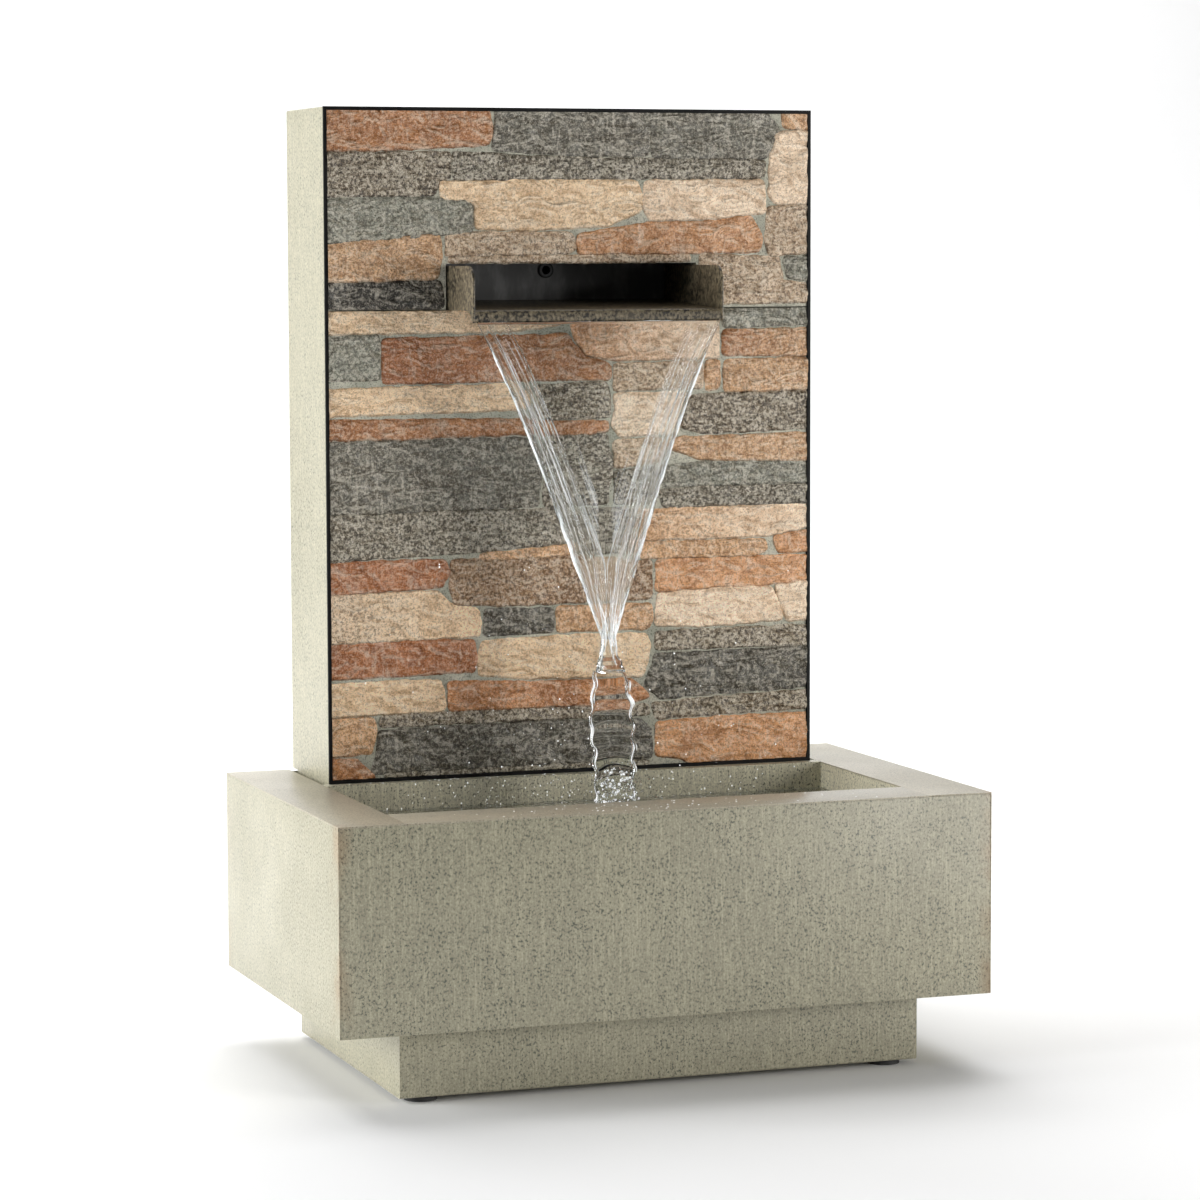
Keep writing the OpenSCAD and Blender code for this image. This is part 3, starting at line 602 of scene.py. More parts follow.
def make_plinth():
    """Front and back as folded channels, each side as a flat web with two flanges."""
    for node, side in (("plinth_front", 1), ("plinth_back", -1)):
        low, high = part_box(node)
        face, lip = (low.y, high.y) if side > 0 else (high.y, low.y)
        line = [(lip, high.z), (face, high.z), (face, low.z), (lip, low.z)]
        if side < 0:
            line.reverse()
        mesh = folded(node, line, SHEET_T, lambda a, b, c: (c, a, b), low.x, high.x)
        piece("channel_" + node, mesh, STEEL, replaces=[node])
    for node, side in (("plinth_left", -1), ("plinth_right", 1)):
        low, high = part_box(node)
        face, lip = (high.x, low.x) if side > 0 else (low.x, high.x)
        front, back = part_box("plinth_front")[1].y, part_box("plinth_back")[0].y
        gap = 0.1 * MM
        mesh = plate(node, (min(face, face - side * SHEET_T), low.y + gap, low.z + SHEET_T),
                     (max(face, face - side * SHEET_T), high.y - gap, high.z - SHEET_T))
        piece("web_" + node, mesh, STEEL, replaces=[node])
        for level, z in (("low", low.z), ("top", high.z - SHEET_T)):
            flange = plate(node + level, (min(face, lip), front, z),
                           (max(face, lip), back, z + SHEET_T))
            piece(f"flange_{level}_{node}", flange, STEEL)


def make_tank():
    low, high = TANK_LOW, TANK_HIGH
    line = [(low.y, high.z), (low.y, low.z), (high.y, low.z), (high.y, high.z)]
    mesh = folded("tank_trough", line, SHEET_T, lambda a, b, c: (c, a, b), low.x, high.x)
    piece("folded_tank_trough", mesh, STEEL_TANK_PAINTED_LIGHT, replaces=["tank_trough"])


# ---------------------------------------------------------------- tower


def make_tower():
    """The shell's two sides and top as one folded sheet, with its lower legs and back flanges."""
    low, high = TOWER_LOW, TOWER_HIGH
    line = [(low.x, RIM_Z), (low.x, high.z), (high.x, high.z), (high.x, RIM_Z)]
    line.reverse()
    mesh = folded("tower_shell", line, SHEET_T, lambda a, b, c: (a, c, b), low.y, high.y,
                  radius=1.6 * MM, width=0.35 * MM)
    piece("folded_tower_shell", mesh, STEEL, replaces=["tower_shell"])
    leg_back = TANK_HIGH.y - SHEET_T - 1.0 * MM
    flange = 16.0 * MM
    for side, x in (("left", low.x), ("right", high.x - SHEET_T)):
        leg = plate("leg", (x, low.y, low.z), (x + SHEET_T, leg_back, RIM_Z))
        piece("tower_leg_" + side, leg, STEEL)
        edge = low.x + SHEET_T if side == "left" else high.x - SHEET_T - flange
        strip = plate("strip", (edge, COVER_LOW.y - SHEET_T, RIM_Z + 2 * MM),
                      (edge + flange, COVER_LOW.y, high.z - SHEET_T))
        piece("tower_flange_" + side, strip, STEEL)
    strip = plate("strip", (low.x + SHEET_T + flange, COVER_LOW.y - SHEET_T, high.z - flange),
                  (high.x - SHEET_T - flange, COVER_LOW.y, high.z - SHEET_T))
    piece("tower_flange_top", strip, STEEL)


def screw_head(at, radius, height):
    """Button head with a cross recess, facing +Y."""
    steps, rings = 28, []
    profile = [(1.0, 0.0), (1.0, 0.25), (0.94, 0.55), (0.78, 0.82), (0.55, 0.97), (0.40, 1.0)]
    points, faces = [], []
    for share, rise in profile:
        ring = []
        for i in range(steps):
            a = 2 * math.pi * i / steps
            ring.append(len(points))
            points.append(Vector((at.x + radius * share * math.cos(a), at.y + height * rise,
                                  at.z + radius * share * math.sin(a))))
        rings.append(ring)
    cross = []
    for i in range(steps):
        a = 2 * math.pi * i / steps
        arm = 0.40 if math.cos(4 * a) > 0.2 else 0.16
        cross.append(len(points))
        points.append(Vector((at.x + radius * arm * math.cos(a), at.y + height * 0.98,
                              at.z + radius * arm * math.sin(a))))
    floor = []
    for i in cross:
        p = points[i]
        floor.append(len(points))
        points.append(Vector((p.x, at.y + height * 0.35, p.z)))
    rings += [cross, floor]
    for a, b in zip(rings, rings[1:]):
        for i in range(steps):
            j = (i + 1) % steps
            faces.append((a[i], a[j], b[j], b[i]))
    faces.append(tuple(rings[0][::-1]))
    faces.append(tuple(floor))
    return points, faces


def make_cover_screws():
    """Eight button heads on the back cover, at the CAD screws' places."""
    low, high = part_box("cover_screws")
    head = 4.0 * MM
    rows = 4
    face = COVER_HIGH.y
    heads = []
    for x in (low.x + head, high.x - head):
        for i in range(rows):
            z = low.z + head + i * (high.z - low.z - 2 * head) / (rows - 1)
            heads.append(screw_head(Vector((x, face, z)), head, high.y - face))
    piece("cover_screw_heads", joined("cover_screws", heads), FASTENER,
          replaces=["cover_screws"], smooth_angle=30.0)


# ---------------------------------------------------------------- spout

NOSE_LEN = 10.0 * MM
NOSE_DROP = 9.0 * MM
CHEEK_R = 12.0 * MM
FLOOR_RISE = 5.0 * MM
SPOUT_T = 1.6 * MM


def cheek_outline():
    """The cheek's side view as (depth, height) points, rounded at the top front."""
    front, back = SPOUT_LOW.y, SPOUT_HIGH.y
    top, under = SPOUT_HIGH.z, SPOUT_LOW.z + NOSE_DROP
    points = [(back, under), (back, top)]
    for k in range(9):
        a = math.pi / 2 * k / 8
        points.append((front + CHEEK_R - CHEEK_R * math.sin(a),
                       top - CHEEK_R + CHEEK_R * math.cos(a)))
    points += [(front, SPOUT_LOW.z + 1.5 * MM), (front + 1.5 * MM, SPOUT_LOW.z),
               (front + NOSE_LEN + 1.0 * MM, under)]
    return points


def make_spout():
    """Two cheeks, and a floor whose nose rolls over and down to a hem."""
    low, high = SPOUT_LOW, SPOUT_HIGH
    parts = []
    for x in (low.x, high.x - SPOUT_T):
        bm = bmesh.new()
        ring = [bm.verts.new((x, y, z)) for y, z in cheek_outline()]
        face = bm.faces.new(ring)
        grown = bmesh.ops.extrude_face_region(bm, geom=[face])["geom"]
        for v in grown:
            if isinstance(v, bmesh.types.BMVert):
                v.co.x += SPOUT_T
        bmesh.ops.recalc_face_normals(bm, faces=bm.faces)
        soften(bm, 0.45 * MM, angle=50.0)
        parts.append(from_bmesh("cheek", bm))
    under = low.z + NOSE_DROP
    line = [(low.y + 3.2 * MM, low.z + 0.2 * MM), (low.y + 0.4 * MM, low.z + 0.4 * MM),
            (low.y + 1.2 * MM, under + 0.4 * MM), (high.y, under + FLOOR_RISE + SHEET_T)]
    floor = folded("floor", [line[3], line[2], line[1], line[0]], SPOUT_T,
                   lambda a, b, c: (c, a, b), low.x + SPOUT_T, high.x - SPOUT_T,
                   radius=2.6 * MM, width=0.2 * MM)
    parts.append(floor)
    bm = bmesh.new()
    for mesh in parts:
        bm.from_mesh(mesh)
    mesh = from_bmesh("spout_chute", bm)
    piece("spout_tray", mesh, STEEL_SPOUT, replaces=["spout_chute"])


# ---------------------------------------------------------------- stone face
# Each stone is a kind and its outline in millimetres: across from the tower's left edge, and up
# from the rim, read off a squared-up copy of the tile in the photograph. A kind
# written "a>b" runs from tone a on the left to tone b on the right.

UPPER_STONES = [
    ("rust", (0, 505), (128, 505), (131, 490), (129, 478), (60, 474), (0, 473)),
    ("slate", (135, 505), (256, 505), (258, 490), (256, 470), (200, 470), (133, 474)),
    ("slate", (260, 505), (352, 505), (364, 490), (356, 475), (353, 469), (260, 469)),
    ("tan", (367, 505), (390, 505), (390, 491), (368, 492)),
    ("pale", (362, 487), (390, 489), (390, 434), (362, 433), (356, 440), (357, 470)),
    ("pepper", (0, 470), (98, 471), (98, 453), (88, 446), (86, 440), (0, 439)),
    ("dapple", (101, 471), (200, 467), (352, 466), (352, 454), (200, 453), (101, 452)),
    ("cream", (91, 449), (160, 450), (248, 450), (251, 440), (250, 428), (222, 417), (160, 414),
     (119, 415), (117, 434), (92, 438)),
    ("pale", (254, 450), (350, 451), (352, 440), (352, 427), (300, 422), (258, 421), (253, 430)),
    ("moss", (0, 435), (60, 437), (113, 436), (116, 428), (115, 413), (60, 408), (0, 405)),
    ("fawn", (355, 430), (390, 431), (390, 396), (357, 394), (353, 405)),
    ("tan", (0, 402), (50, 407), (89, 410), (91, 395), (88, 378), (0, 376)),
    ("fawn", (96, 411), (195, 411), (197, 400), (190, 396), (95, 395)),
    ("amber", (200, 409), (225, 414), (256, 418), (300, 419), (340, 424), (350, 408), (347, 397),
     (200, 396)),
    ("fawn", (97, 393), (290, 394), (290, 390), (97, 390)),
    ("soot", (0, 373), (90, 375), (92, 362), (92, 356), (0, 356)),
    ("fawn", (299, 394), (364, 392), (366, 374), (388, 371), (388, 358), (299, 358)),
    ("moss", (369, 392), (390, 392), (390, 375), (371, 378)),
]

LOWER_STONES = [
    ("cream", (0, 353), (188, 353), (186, 343), (150, 338), (0, 337)),
    ("amber>pale", (192, 353), (312, 353), (314, 316), (232, 315), (205, 319), (197, 332)),
    ("moss", (318, 353), (390, 353), (390, 341), (318, 339)),
    ("rust>tan", (318, 336), (388, 337), (390, 320), (387, 317), (318, 318)),
    ("moss", (0, 334), (41, 335), (42, 303), (0, 302)),
    ("brick>rust", (45, 332), (190, 334), (203, 317), (224, 312), (225, 301), (45, 300)),
    ("fawn", (229, 311), (300, 312), (300, 293), (229, 292)),
    ("tan", (304, 313), (314, 313), (314, 292), (304, 291)),
    ("tan", (319, 313), (388, 314), (388, 291), (319, 290)),
    ("cream", (0, 295), (150, 297), (156, 290), (158, 279), (0, 276)),
    ("pepper", (162, 296), (222, 297), (225, 285), (224, 272), (170, 271)),
    ("pale", (229, 289), (290, 289), (283, 272), (279, 259), (232, 257), (227, 265), (230, 276)),
    ("pepper", (292, 287), (390, 288), (390, 261), (300, 258), (285, 262), (285, 274)),
    ("rust", (0, 272), (100, 271), (163, 270), (163, 260), (0, 258)),
    ("rust", (168, 268), (223, 268), (223, 261), (200, 259), (168, 259)),
    ("slate", (0, 255), (100, 256), (165, 256), (168, 230), (167, 205), (0, 203)),
    ("dapple", (172, 256), (222, 258), (226, 236), (222, 206), (172, 204)),
    ("fawn", (229, 253), (268, 254), (266, 240), (262, 236), (228, 233)),
    ("tan", (272, 254), (390, 256), (390, 236), (300, 238), (274, 247)),
    ("dapple", (229, 229), (262, 232), (262, 206), (229, 205)),
    ("moss", (266, 232), (300, 235), (390, 233), (390, 219), (268, 218)),
    ("dapple", (266, 215), (390, 216), (390, 203), (268, 202)),
    ("dapple", (0, 200), (100, 202), (192, 201), (195, 189), (190, 177), (120, 172), (0, 168)),
    ("tan", (120, 169), (192, 174), (192, 167), (120, 165)),
    ("dapple", (196, 201), (246, 201), (246, 168), (196, 167)),
    ("tan>pale", (252, 199), (300, 200), (390, 200), (390, 184), (353, 178), (300, 177),
     (252, 177)),
    ("amber", (360, 177), (390, 180), (390, 165), (364, 164)),
    ("tan", (250, 174), (352, 174), (354, 167), (345, 163), (250, 163)),
    ("brick", (0, 165), (60, 166), (93, 165), (95, 155), (90, 146), (0, 143)),
    ("umber", (98, 165), (204, 165), (205, 131), (150, 130), (100, 133), (97, 145)),
    ("fawn", (208, 163), (232, 163), (232, 131), (208, 131)),
    ("umber", (236, 160), (258, 160), (258, 132), (236, 131)),
    ("amber", (263, 160), (390, 161), (390, 143), (360, 140), (300, 139), (263, 137)),
    ("fawn>cream", (0, 141), (86, 142), (95, 133), (118, 127), (120, 117), (119, 108), (0, 106)),
    ("coal", (124, 127), (178, 126), (178, 109), (124, 108)),
    ("tan", (182, 127), (258, 127), (259, 118), (256, 109), (182, 109)),
    ("pale", (264, 134), (300, 137), (357, 137), (363, 125), (366, 112), (300, 109), (262, 111)),
    ("pale", (362, 138), (390, 140), (390, 111), (371, 111), (366, 124)),
    ("brick", (0, 103), (60, 105), (114, 104), (117, 92), (115, 81), (60, 80), (0, 79)),
    ("cream", (122, 103), (200, 105), (253, 104), (257, 96), (254, 80), (250, 72), (160, 74),
     (119, 78), (119, 92)),
    ("pepper", (262, 105), (390, 106), (390, 92), (262, 92)),
    ("coal", (262, 88), (390, 89), (390, 59), (300, 56), (266, 54), (253, 65), (258, 76)),
    ("cream", (0, 74), (60, 75), (88, 74), (91, 62), (91, 52), (0, 51)),
    ("rust", (95, 73), (120, 72), (160, 70), (242, 69), (256, 56), (240, 52), (95, 52)),
    ("tan", (0, 48), (35, 48), (37, 40), (33, 22), (0, 21)),
    ("rust", (0, 18), (22, 17), (30, 9), (36, 3), (0, 3)),
    ("pepper", (41, 49), (150, 50), (256, 49), (256, 42), (41, 42)),
    ("pepper", (260, 50), (300, 52), (390, 55), (390, 42), (262, 39)),
    ("coal", (40, 38), (150, 39), (250, 38), (257, 30), (258, 9), (150, 8), (34, 7), (38, 20)),
    ("amber", (263, 35), (320, 37), (390, 37), (390, 3), (290, 3), (280, 8), (262, 10)),
    ("dapple", (44, 5), (256, 6), (256, 3), (44, 3)),
]

# kind: (tone, speckle, streaks, mottling)
STONE_KINDS = {
    "pale": (rgb(244, 219, 190), 0.35, 0.40, 0.60),
    "cream": (rgb(240, 210, 172), 0.35, 0.40, 0.70),
    "fawn": (rgb(204, 179, 150), 0.70, 0.40, 0.75),
    "tan": (rgb(214, 171, 128), 0.55, 0.50, 0.90),
    "amber": (rgb(216, 160, 112), 0.40, 0.65, 0.90),
    "rust": (rgb(186, 129, 83), 0.45, 0.50, 0.90),
    "brick": (rgb(174, 112, 70), 0.40, 0.65, 0.90),
    "umber": (rgb(160, 128, 96), 0.80, 0.45, 0.90),
    "pepper": (rgb(142, 131, 112), 1.00, 0.40, 0.60),
    "dapple": (rgb(128, 122, 107), 0.95, 0.60, 0.70),
    "moss": (rgb(136, 137, 124), 0.65, 0.60, 0.65),
    "slate": (rgb(112, 110, 99), 0.60, 0.90, 0.75),
    "coal": (rgb(86, 84, 75), 0.60, 0.85, 0.65),
    "soot": (rgb(60, 58, 52), 0.60, 0.70, 0.60),
}

GROUT_DEPTH = 1.6 * MM
LOWEST_RISE = -0.8
STONE_STEP = 2.2
STONE_FILL = 4.2
STONE_SET_BACK = 0.6  # mm from the tile's face back to the relief's zero
RIM_PAINTED_LIGHT, RIM_PAINTED_SHADE = 0.12, 0.50  # how much painted light lightens a stone's upper rim and painted shade darkens its lower rim
TONE_SHIFT = (1.08, 1.26)
LOW_PAINTED_LIGHT, LOW_PAINTED_LIGHT_TOP = 0.30, 260.0  # painted light: stones low on the tile are lighter, below this height
LEAN_ACROSS, LEAN_UP = 0.4, 0.35  # mm by which a face may tilt
BURIED = -2.0  # ring points lower than this stay flat in the grout
RIM_RELIEF = 0.6
# (inset, height) in mm of the rings round a stone, from the grout up to its face
RING_INSETS = ((-1.8, -2.2), (-1.45, -1.0), (-0.8, -0.3), (0.4, 0.0))


def rounded_outline(corners):
    """The outline resampled, its corners rubbed off and its line made uneven, in mm."""
    points = []
    count = len(corners)
    for i in range(count):
        a, b = Vector(corners[i]), Vector(corners[(i + 1) % count])
        steps = max(1, round((b - a).length / STONE_STEP))
        points += [a.lerp(b, k / steps) for k in range(steps)]
    points = [(points[i - 1] + points[i] * 2 + points[(i + 1) % len(points)]) / 4
              for i in range(len(points))]
    uneven = []
    for p in points:
        shift = Vector((lumps(p.x * 0.11, p.y * 0.11, 3.0),
                        lumps(p.x * 0.11, p.y * 0.11, 9.0)))
        chip = Vector((lumps(p.x * 0.4, p.y * 0.4, 5.0),
                       lumps(p.x * 0.4, p.y * 0.4, 7.0)))
        uneven.append(p + shift * 1.1 + chip * 0.4)
    return uneven


def inset_ring(points, distance):
    """Moves each point of a closed counter-clockwise ring inwards."""
    moved = []
    for i, p in enumerate(points):
        along = (points[(i + 1) % len(points)] - points[i - 1]).normalized()
        moved.append(p + Vector((-along.y, along.x)) * distance)
    return moved


def signed_area(points):
    return sum(points[i - 1].x * p.y - p.x * points[i - 1].y for i, p in enumerate(points)) / 2


def inside(p, ring, margin):
    """True if p lies in the ring, at least margin from its line."""
    hit = False
    for i, b in enumerate(ring):
        a = ring[i - 1]
        if (a.y > p.y) != (b.y > p.y):
            if p.x < a.x + (p.y - a.y) / (b.y - a.y) * (b.x - a.x):
                hit = not hit
        if (a - p).length < margin:
            return False
    return hit


def chiselled(x, z, seed):
    """Height of a stone's face in mm at a place on the tile."""
    broad = lumps(x * 0.045, z * 0.085, seed)
    ripple = lumps(x * 0.16 + z * 0.06, z * 0.18, seed + 5.0)
    ridge = abs(lumps(x * 0.075 - z * 0.05, z * 0.10, seed + 11.0))
    return 2.2 * broad + 1.9 * ripple - 3.4 * ridge + 1.0


def stone_part(kind, corners, seed, bounds):
    """One stone as (points, faces, tones, grains), its place in tile mm."""
    ring = rounded_outline(corners)
    if signed_area(ring) < 0:
        ring.reverse()
    left, right, under, over = bounds
    flat, heights = [], []
    loops = []
    for inset, height in RING_INSETS:
        loop = []
        for p in inset_ring(ring, inset) if inset else ring:
            p = Vector((min(max(p.x, left), right), min(max(p.y, under), over)))
            loop.append(len(flat))
            flat.append(p)
            heights.append(height)
        loops.append(loop)
    # Painted shade under each stone's lower rim and painted light along its upper rim, as if lit
    # from above.
    shades = {}
    for i, inmost in enumerate(loops[-1]):
        slope = (flat[loops[0][i]] - flat[inmost]).normalized().y
        for loop in loops[:-1]:
            shades[loop[i]] = 1.0 + slope * (RIM_PAINTED_LIGHT if slope > 0 else RIM_PAINTED_SHADE)
    inner = [flat[i] for i in loops[-1]]
    low_x, high_x = min(p.x for p in inner), max(p.x for p in inner)
    low_z, high_z = min(p.y for p in inner), max(p.y for p in inner)
    fill = []
    rng = random.Random(seed)
    z = low_z + STONE_FILL / 2
    while z < high_z:
        x = low_x + STONE_FILL / 2
        while x < high_x:
            p = Vector((x + rng.uniform(-1.0, 1.0), z + rng.uniform(-1.0, 1.0)))
            if inside(p, inner, STONE_FILL * 0.5):
                fill.append(p)
            x += STONE_FILL
        z += STONE_FILL
    count = len(inner)
    edges = [(i, (i + 1) % count) for i in range(count)]
    out = geometry.delaunay_2d_cdt(inner + fill, edges, [], 1, 1e-4)
    places, triangles, origin = out[0], out[2], out[3]
    index = {}
    for i, p in enumerate(places):
        known = [o for o in origin[i] if o < count]
        if known:
            index[i] = loops[-1][known[0]]
        else:
            index[i] = len(flat)
            flat.append(Vector((p[0], p[1])))
            heights.append(0.0)
    faces = [tuple(index[i] for i in t) for t in triangles]
    for a, b in zip(loops, loops[1:]):
        for i in range(count):
            j = (i + 1) % count
            faces.append((a[i], a[j], b[j], b[i]))
    names = kind.split(">")
    first, last = STONE_KINDS[names[0]], STONE_KINDS[names[-1]]
    shift = rng.uniform(*TONE_SHIFT)
    # Painted light: stones low on the tile are made lighter.
    shift = shift * (1.0 + LOW_PAINTED_LIGHT * max(0.0, 1.0 - low_z / LOW_PAINTED_LIGHT_TOP))
    lean = rng.uniform(-LEAN_ACROSS, LEAN_ACROSS), rng.uniform(-LEAN_UP, LEAN_UP)
    width = max(high_x - low_x, 1.0)
    height_span = max(high_z - low_z, 1.0)
    points, tones, grains = [], [], []
    for i, (p, h) in enumerate(zip(flat, heights)):
        across = min(max((p.x - low_x) / width, 0.0), 1.0)
        rise = h
        if h > BURIED:
            rise += chiselled(p.x, p.y, seed * 0.37) * (1.0 if h == 0.0 else RIM_RELIEF)
            rise += lean[0] * (across - 0.5) + lean[1] * ((p.y - low_z) / height_span - 0.5)
            rise = max(rise, LOWEST_RISE)
        points.append(Vector((TOWER_LEFT + p.x * MM, TILE_Y - (rise - STONE_SET_BACK) * MM,
                              RIM_Z + p.y * MM)))
        light = shift * shades.get(i, 1.0)
        tone = [light * (a + (b - a) * across) for a, b in zip(first[0], last[0])]
        tones += tone + [1.0]
        grains += [a + (b - a) * across for a, b in zip(first[1:], last[1:])] + [1.0]
    return points, faces, tones, grains


def paint(mesh, name, values):
    layer = mesh.attributes.new(name, "FLOAT_COLOR", "POINT")
    layer.data.foreach_set("color", values)


def make_stones(name, node, stones, seed):
    """All the stones of one tile as one relief."""
    low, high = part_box(node)
    bounds = ((low.x - TOWER_LEFT) / MM, (high.x - TOWER_LEFT) / MM,
              (low.z - RIM_Z) / MM, (high.z - RIM_Z) / MM)
    points, faces, tones, grains = [], [], [], []
    for i, (kind, *corners) in enumerate(stones):
        part = stone_part(kind, corners, seed + i, bounds)
        base = len(points)
        points += part[0]
        faces += [tuple(base + k for k in f) for f in part[1]]
        tones += part[2]
        grains += part[3]
    mesh = mesh_of(name, points, faces)
    paint(mesh, "tone", tones)
    paint(mesh, "grain", grains)
    bm = bmesh.new()
    bm.from_mesh(mesh)
    for face in bm.faces:
        if face.normal.y > 0:
            face.normal_flip()
    bm.to_mesh(mesh)
    bm.free()
    return mesh


def grout_slab(name, node):
    """The tile's bed: the CAD tile with its face set back to the grout's level."""
    low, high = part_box(node)
    face = TILE_Y + GROUT_DEPTH
    if node == "tile_lower":
        return plate(name, (low.x, face, low.z), high, 0.2 * MM)
    notch_x = (SPOUT_HIGH.x - SPOUT_LOW.x) / 2 + 1.5 * MM
    notch_z = SPOUT_HIGH.z + 1.5 * MM
    outline = [(low.x, low.z), (CENTRE_X - notch_x, low.z), (CENTRE_X - notch_x, notch_z),
               (CENTRE_X + notch_x, notch_z), (CENTRE_X + notch_x, low.z), (high.x, low.z),
               (high.x, high.z), (low.x, high.z)]
    bm = bmesh.new()
    front = bm.faces.new([bm.verts.new((x, face, z)) for x, z in outline])
    grown = bmesh.ops.extrude_face_region(bm, geom=[front])["geom"]
    for v in grown:
        if isinstance(v, bmesh.types.BMVert):
            v.co.y = high.y
    return from_bmesh(name, bm)


def make_tiles():
    for node, stones, seed in (("tile_upper", UPPER_STONES, 10), ("tile_lower", LOWER_STONES, 60)):
        piece(node + "_bed", grout_slab(node + "_bed", node), GROUT,
              replaces=[node])
        stone = make_stones(node + "_stones", node, stones, seed)
        piece(node + "_stones", stone, STONE, smooth_angle=60.0)


# ---------------------------------------------------------------- water

POOL_Z = RIM_Z - 20.0 * MM
LIP_Z = SPOUT_LOW.z
LIP_Y = SPOUT_LOW.y
APEX_Z = RIM_Z + 110.0 * MM
PINCH_Z = RIM_Z + 86.0 * MM
SHEET_HALF = 96.0 * MM
APEX_HALF = 4.8 * MM
FALL_REACH = 27.0 * MM
BAND = 24.0 * MM  # width of the band of threads inside each edge of the sheet
JOIN_RISE = 2.9  # how far above the apex a thread meets the middle, per unit of its offset
JET_DRIFT = -0.5 * MM
# Half widths of the jet and of the flat link below it: (height above the rim, half width), mm
JET_SHAPE = ((126, 0.6), (116, 4.4), (106, 5.8), (98, 7.0), (91, 9.4), (86, 11.0))
LINK_SHAPE = ((87, 10.5), (82, 12.0), (70, 13.6), (59, 15.4), (42, 16.4), (27, 15.2), (12, 14.6),
              (-4, 14.6), (-22, 15.4))
WAVE_LENGTH = 16.5 * MM
# How many threads each side of the sheet has: clear, white flecks, fine white and joining
CLEAR_THREADS, EDGE_FLECKS, FINE_THREADS, JOINING_THREADS = 26, 34, 64, 26
LINK_GLINTS, JET_THREADS = 16, 22
FROTH_COUNT, SPLASH_COUNT, SPRAY_COUNT = 260, 60, 900


def fall_y(z):
    """How far forward the water has travelled by the time it has fallen to z."""
    return LIP_Y - FALL_REACH * max((LIP_Z - z) / (LIP_Z - POOL_Z), 0.0)


def fall_x(z):
    """The sideways drift of the water's middle."""
    share = min(max((LIP_Z - z) / (LIP_Z - APEX_Z), 0.0), 1.0)
    back = min(max((APEX_Z - z) / (APEX_Z - POOL_Z), 0.0), 1.0)
    return JET_DRIFT * share + 2.5 * MM * back


def sheet_half(z):
    """Half the water sheet's width at a height."""
    share = min(max((z - APEX_Z) / (LIP_Z - APEX_Z), 0.0), 1.0)
    flare = 0.89 * share + 0.11 * share ** 5
    return APEX_HALF + (SHEET_HALF - APEX_HALF) * flare


def along_table(table, z):
    """Reads a (height above the rim, value) table in mm at a height in metres."""
    h = (z - RIM_Z) / MM
    for (h1, v1), (h2, v2) in zip(table, table[1:]):
        if h >= h2 or (h2, v2) == table[-1]:
            return (v1 + (v2 - v1) * smooth(h1, h2, h)) * MM


def skin(rows, cols, place):
    """A closed skin from place(side, r, c), where side 0 is its back and side 1 its front."""
    points = [place(side, r / rows, c / cols)
              for side in (0, 1) for r in range(rows + 1) for c in range(cols + 1)]
    row = cols + 1
    base = (rows + 1) * row
    faces = []
    for r in range(rows):
        for c in range(cols):
            a = r * row + c
            faces.append((a, a + row, a + row + 1, a + 1))
            faces.append((base + a, base + a + 1, base + a + row + 1, base + a + row))
        for c in (0, cols):
            a = r * row + c
            faces.append((a, base + a, base + a + row, a + row))
    for c in range(cols):
        for r in (0, rows):
            a = r * row + c
            faces.append((a, a + 1, base + a + 1, base + a))
    return points, faces


def water(name, parts, look, smooth_angle=180.0):
    piece(name, joined(name, parts), look, smooth_angle=smooth_angle)


def sheet_point(side, down, across):
    """A point of the thin film: calm in the middle, furrowed along the flow near its edges."""
    top = LIP_Z + 1.0 * MM
    z = top - (top - APEX_Z) * down
    u = 2.0 * across - 1.0
    inward = sheet_half(z) * (1.0 - abs(u))
    edge = 1.0 - smooth(8.0 * MM, 30.0 * MM, inward)
    furrow = lumps(u * 26.0 + side * 40.0, z * 5.0, 1.0)
    furrow += 0.6 * lumps(u * 55.0, z * 9.0, 7.0 + side)
    crease = lumps(u * 5.0, z * 42.0, 3.0 + side * 9.0)
    thick = 0.22 + 0.20 * edge + furrow * (0.012 + 0.15 * edge + 0.05 * down ** 3)
    thick += crease * 0.10 * down ** 2 * (1.0 - edge)
    depth = max(thick, 0.06) * MM * (1.0 if side else -1.0)
    sway = 1.2 * MM * lumps(u * 1.5, z * 9.0, 3.0)
    return Vector((fall_x(z) + sheet_half(z) * u, fall_y(z) - depth + sway, z))


def strand(side, offset, top, bottom, radius, seed, steps=36):
    """One thread of water beside the sheet's edge, offset inwards from it by a distance.

    Once the sheet is narrower than its band of threads, they close up in step with it.
    """
    path, radii = [], []
    for k in range(steps + 1):
        t = k / steps
        z = top + (bottom - top) * t
        half = sheet_half(z)
        inward = half - offset * min(1.0, half / max(BAND, offset))
        x = fall_x(z) + side * inward
        x += 0.7 * MM * lumps(seed, z * 55.0, 0.0) * min(1.0, 5.0 * t)
        y = fall_y(z) - 0.4 * MM + 0.6 * MM * lumps(seed, z * 45.0, 5.0)
        taper = min(1.0, 5.0 * t + 0.1, 5.0 * (1.0 - t) + 0.1)
        swell = 1.0 + 0.45 * lumps(seed * 3.0, z * 130.0, 2.0)
        path.append(Vector((x, y, z)))
        radii.append(radius * taper * swell)
    return tube_mesh(path, radii, 6, 0.25, seed)


